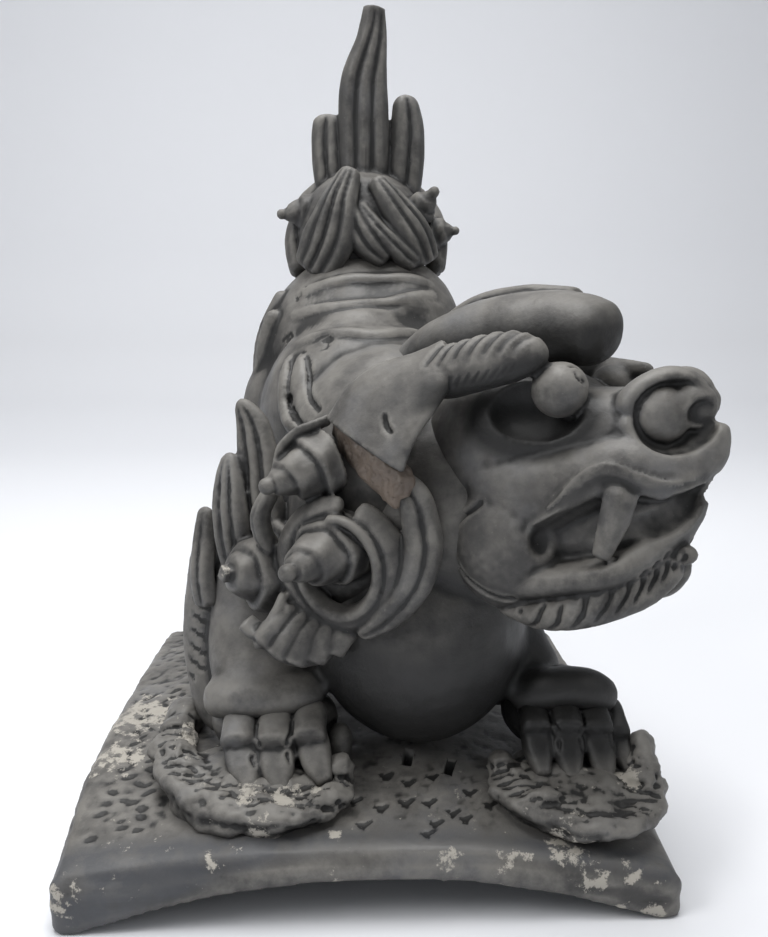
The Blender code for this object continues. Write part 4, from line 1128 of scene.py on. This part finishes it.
def clay_material(name, dark, mortar, bare):
    material, shader = new_material(name)
    n = Wires(material.node_tree)
    look = n.node("ShaderNodeGroup", node_tree=clay_group)
    for socket, label in ATTRIBUTES.items():
        n.put(look.inputs[socket], n.node("ShaderNodeAttribute", attribute_name=label).outputs["Fac"])
    for socket, amount in (("Dark", dark), ("Mortar", mortar), ("Bare", bare)):
        n.put(look.inputs[socket], amount)
    bump = n.node("ShaderNodeBump")
    for socket, given in (("Strength", BUMP_STRENGTH), ("Distance", BUMP_HEIGHT), ("Height", look.outputs["Height"])):
        n.put(bump.inputs[socket], given)
    for socket, given in (("Base Color", look.outputs["Color"]), ("Roughness", look.outputs["Roughness"]),
                          ("Normal", bump.outputs["Normal"])):
        n.put(shader.inputs[socket], given)
    return material


# How dark each piece was smoked, how much mortar is on it, and how bare its clay is.
TONES = {"tile": (0.1, 0.25, 0.0), "ground_heaps": (0.0, 0.3, 0.0), "body": (0.05, 0.0, 0.0),
         "front_paws": (0.15, 0.0, 0.0), "head": (0.0, 0.0, 0.0), "ear_end": (0.0, 0.0, 1.0),
         "mane": (0.08, 0.0, 0.0), "tail": (0.25, 0.0, 0.0)}
for piece in pieces:
    piece.data.materials.clear()
    piece.data.materials.append(clay_material(piece.name, *TONES[piece.name]))
    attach(piece, "root")
    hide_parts("ridge_lion")
print(len(pieces), "pieces painted")

# %% [markdown]
# ## Floor, light and camera
# A sheet of pale paper is the floor and curves up behind as the backdrop, so no line shows where they meet.
# One large lamp hangs above, and two smaller ones fill in from the left and the right of the front.

# %% The sweep
# In metres: the paper's line from front to back, as distance and height.
SWEEP_LINE = [(-1.2, 0), (0.9, 0), (1.15, 0.03), (1.32, 0.12), (1.42, 0.3), (1.47, 0.7), (1.48, 2.2)]
SWEEP_HALF_WIDTH = 2.2


def sweep():
    sheet = bmesh.new()
    edges = []
    for x in (-SWEEP_HALF_WIDTH, SWEEP_HALF_WIDTH):
        line = [sheet.verts.new((x, y, z)) for y, z in SWEEP_LINE]
        edges += [sheet.edges.new(pair) for pair in zip(line, line[1:])]
    bmesh.ops.bridge_loops(sheet, edges=edges)
    paper = to_object([sheet], "sweep")
    paper.data.shade_smooth()
    material, shader = new_material("paper")
    shader.inputs["Base Color"].default_value = (0.84, 0.85, 0.88, 1)
    shader.inputs["Roughness"].default_value = 0.9
    paper.data.materials.append(material)


sweep()


# %% Lights
def lamp(name, place, target, size, power):
    data = bpy.data.lights.new(name, "AREA")
    data.shape = "RECTANGLE"
    data.size, data.size_y = size
    data.energy = power
    shown = show(name, data)
    shown.location = place
    shown.rotation_euler = (Vector(target) - Vector(place)).to_track_quat("-Z", "Y").to_euler()


lamp("overhead", (-0.05, 0.0, 1.4), (0, 0.02, 0.15), (1.1, 0.8), 19)
lamp("front_right", (1.2, -0.7, 1.0), (0, 0, 0.15), (0.6, 0.6), 3)
lamp("front_left", (-1.1, -0.6, 1.15), (0, 0, 0.15), (0.6, 0.6), 9)
world = bpy.data.worlds.new("room")
bpy.context.scene.world = world
world.use_nodes = True
air = world.node_tree.nodes["Background"]
air.inputs["Color"].default_value = (0.93, 0.96, 1.0, 1)
air.inputs["Strength"].default_value = 0.25
bpy.context.scene.view_settings.view_transform = "Standard"

# %% [markdown]
# The camera stands close in front, a little above the lion's head, and looks slightly down. Its short distance
# makes the head large and the tail small.

# %% Camera
CAMERA_PLACE = (-4, -332, 269)
CAMERA_DOWN, CAMERA_YAW = 12.5, 1.4
SENSOR, FOCAL_LENGTH = 36, 35.34685
camera_data = bpy.data.cameras.new("camera")
camera_data.sensor_width = SENSOR
camera_data.lens = FOCAL_LENGTH
camera_data.clip_start = 0.01
camera = show("camera", camera_data)
camera.location = mm(*CAMERA_PLACE) + ORIGIN
down, right = math.radians(CAMERA_DOWN), math.radians(CAMERA_YAW)
look = Vector((math.sin(right) * math.cos(down), math.cos(right) * math.cos(down), -math.sin(down)))
camera.rotation_mode = "QUATERNION"
camera.rotation_quaternion = look.to_track_quat("-Z", "Y")
bpy.context.scene.camera = camera
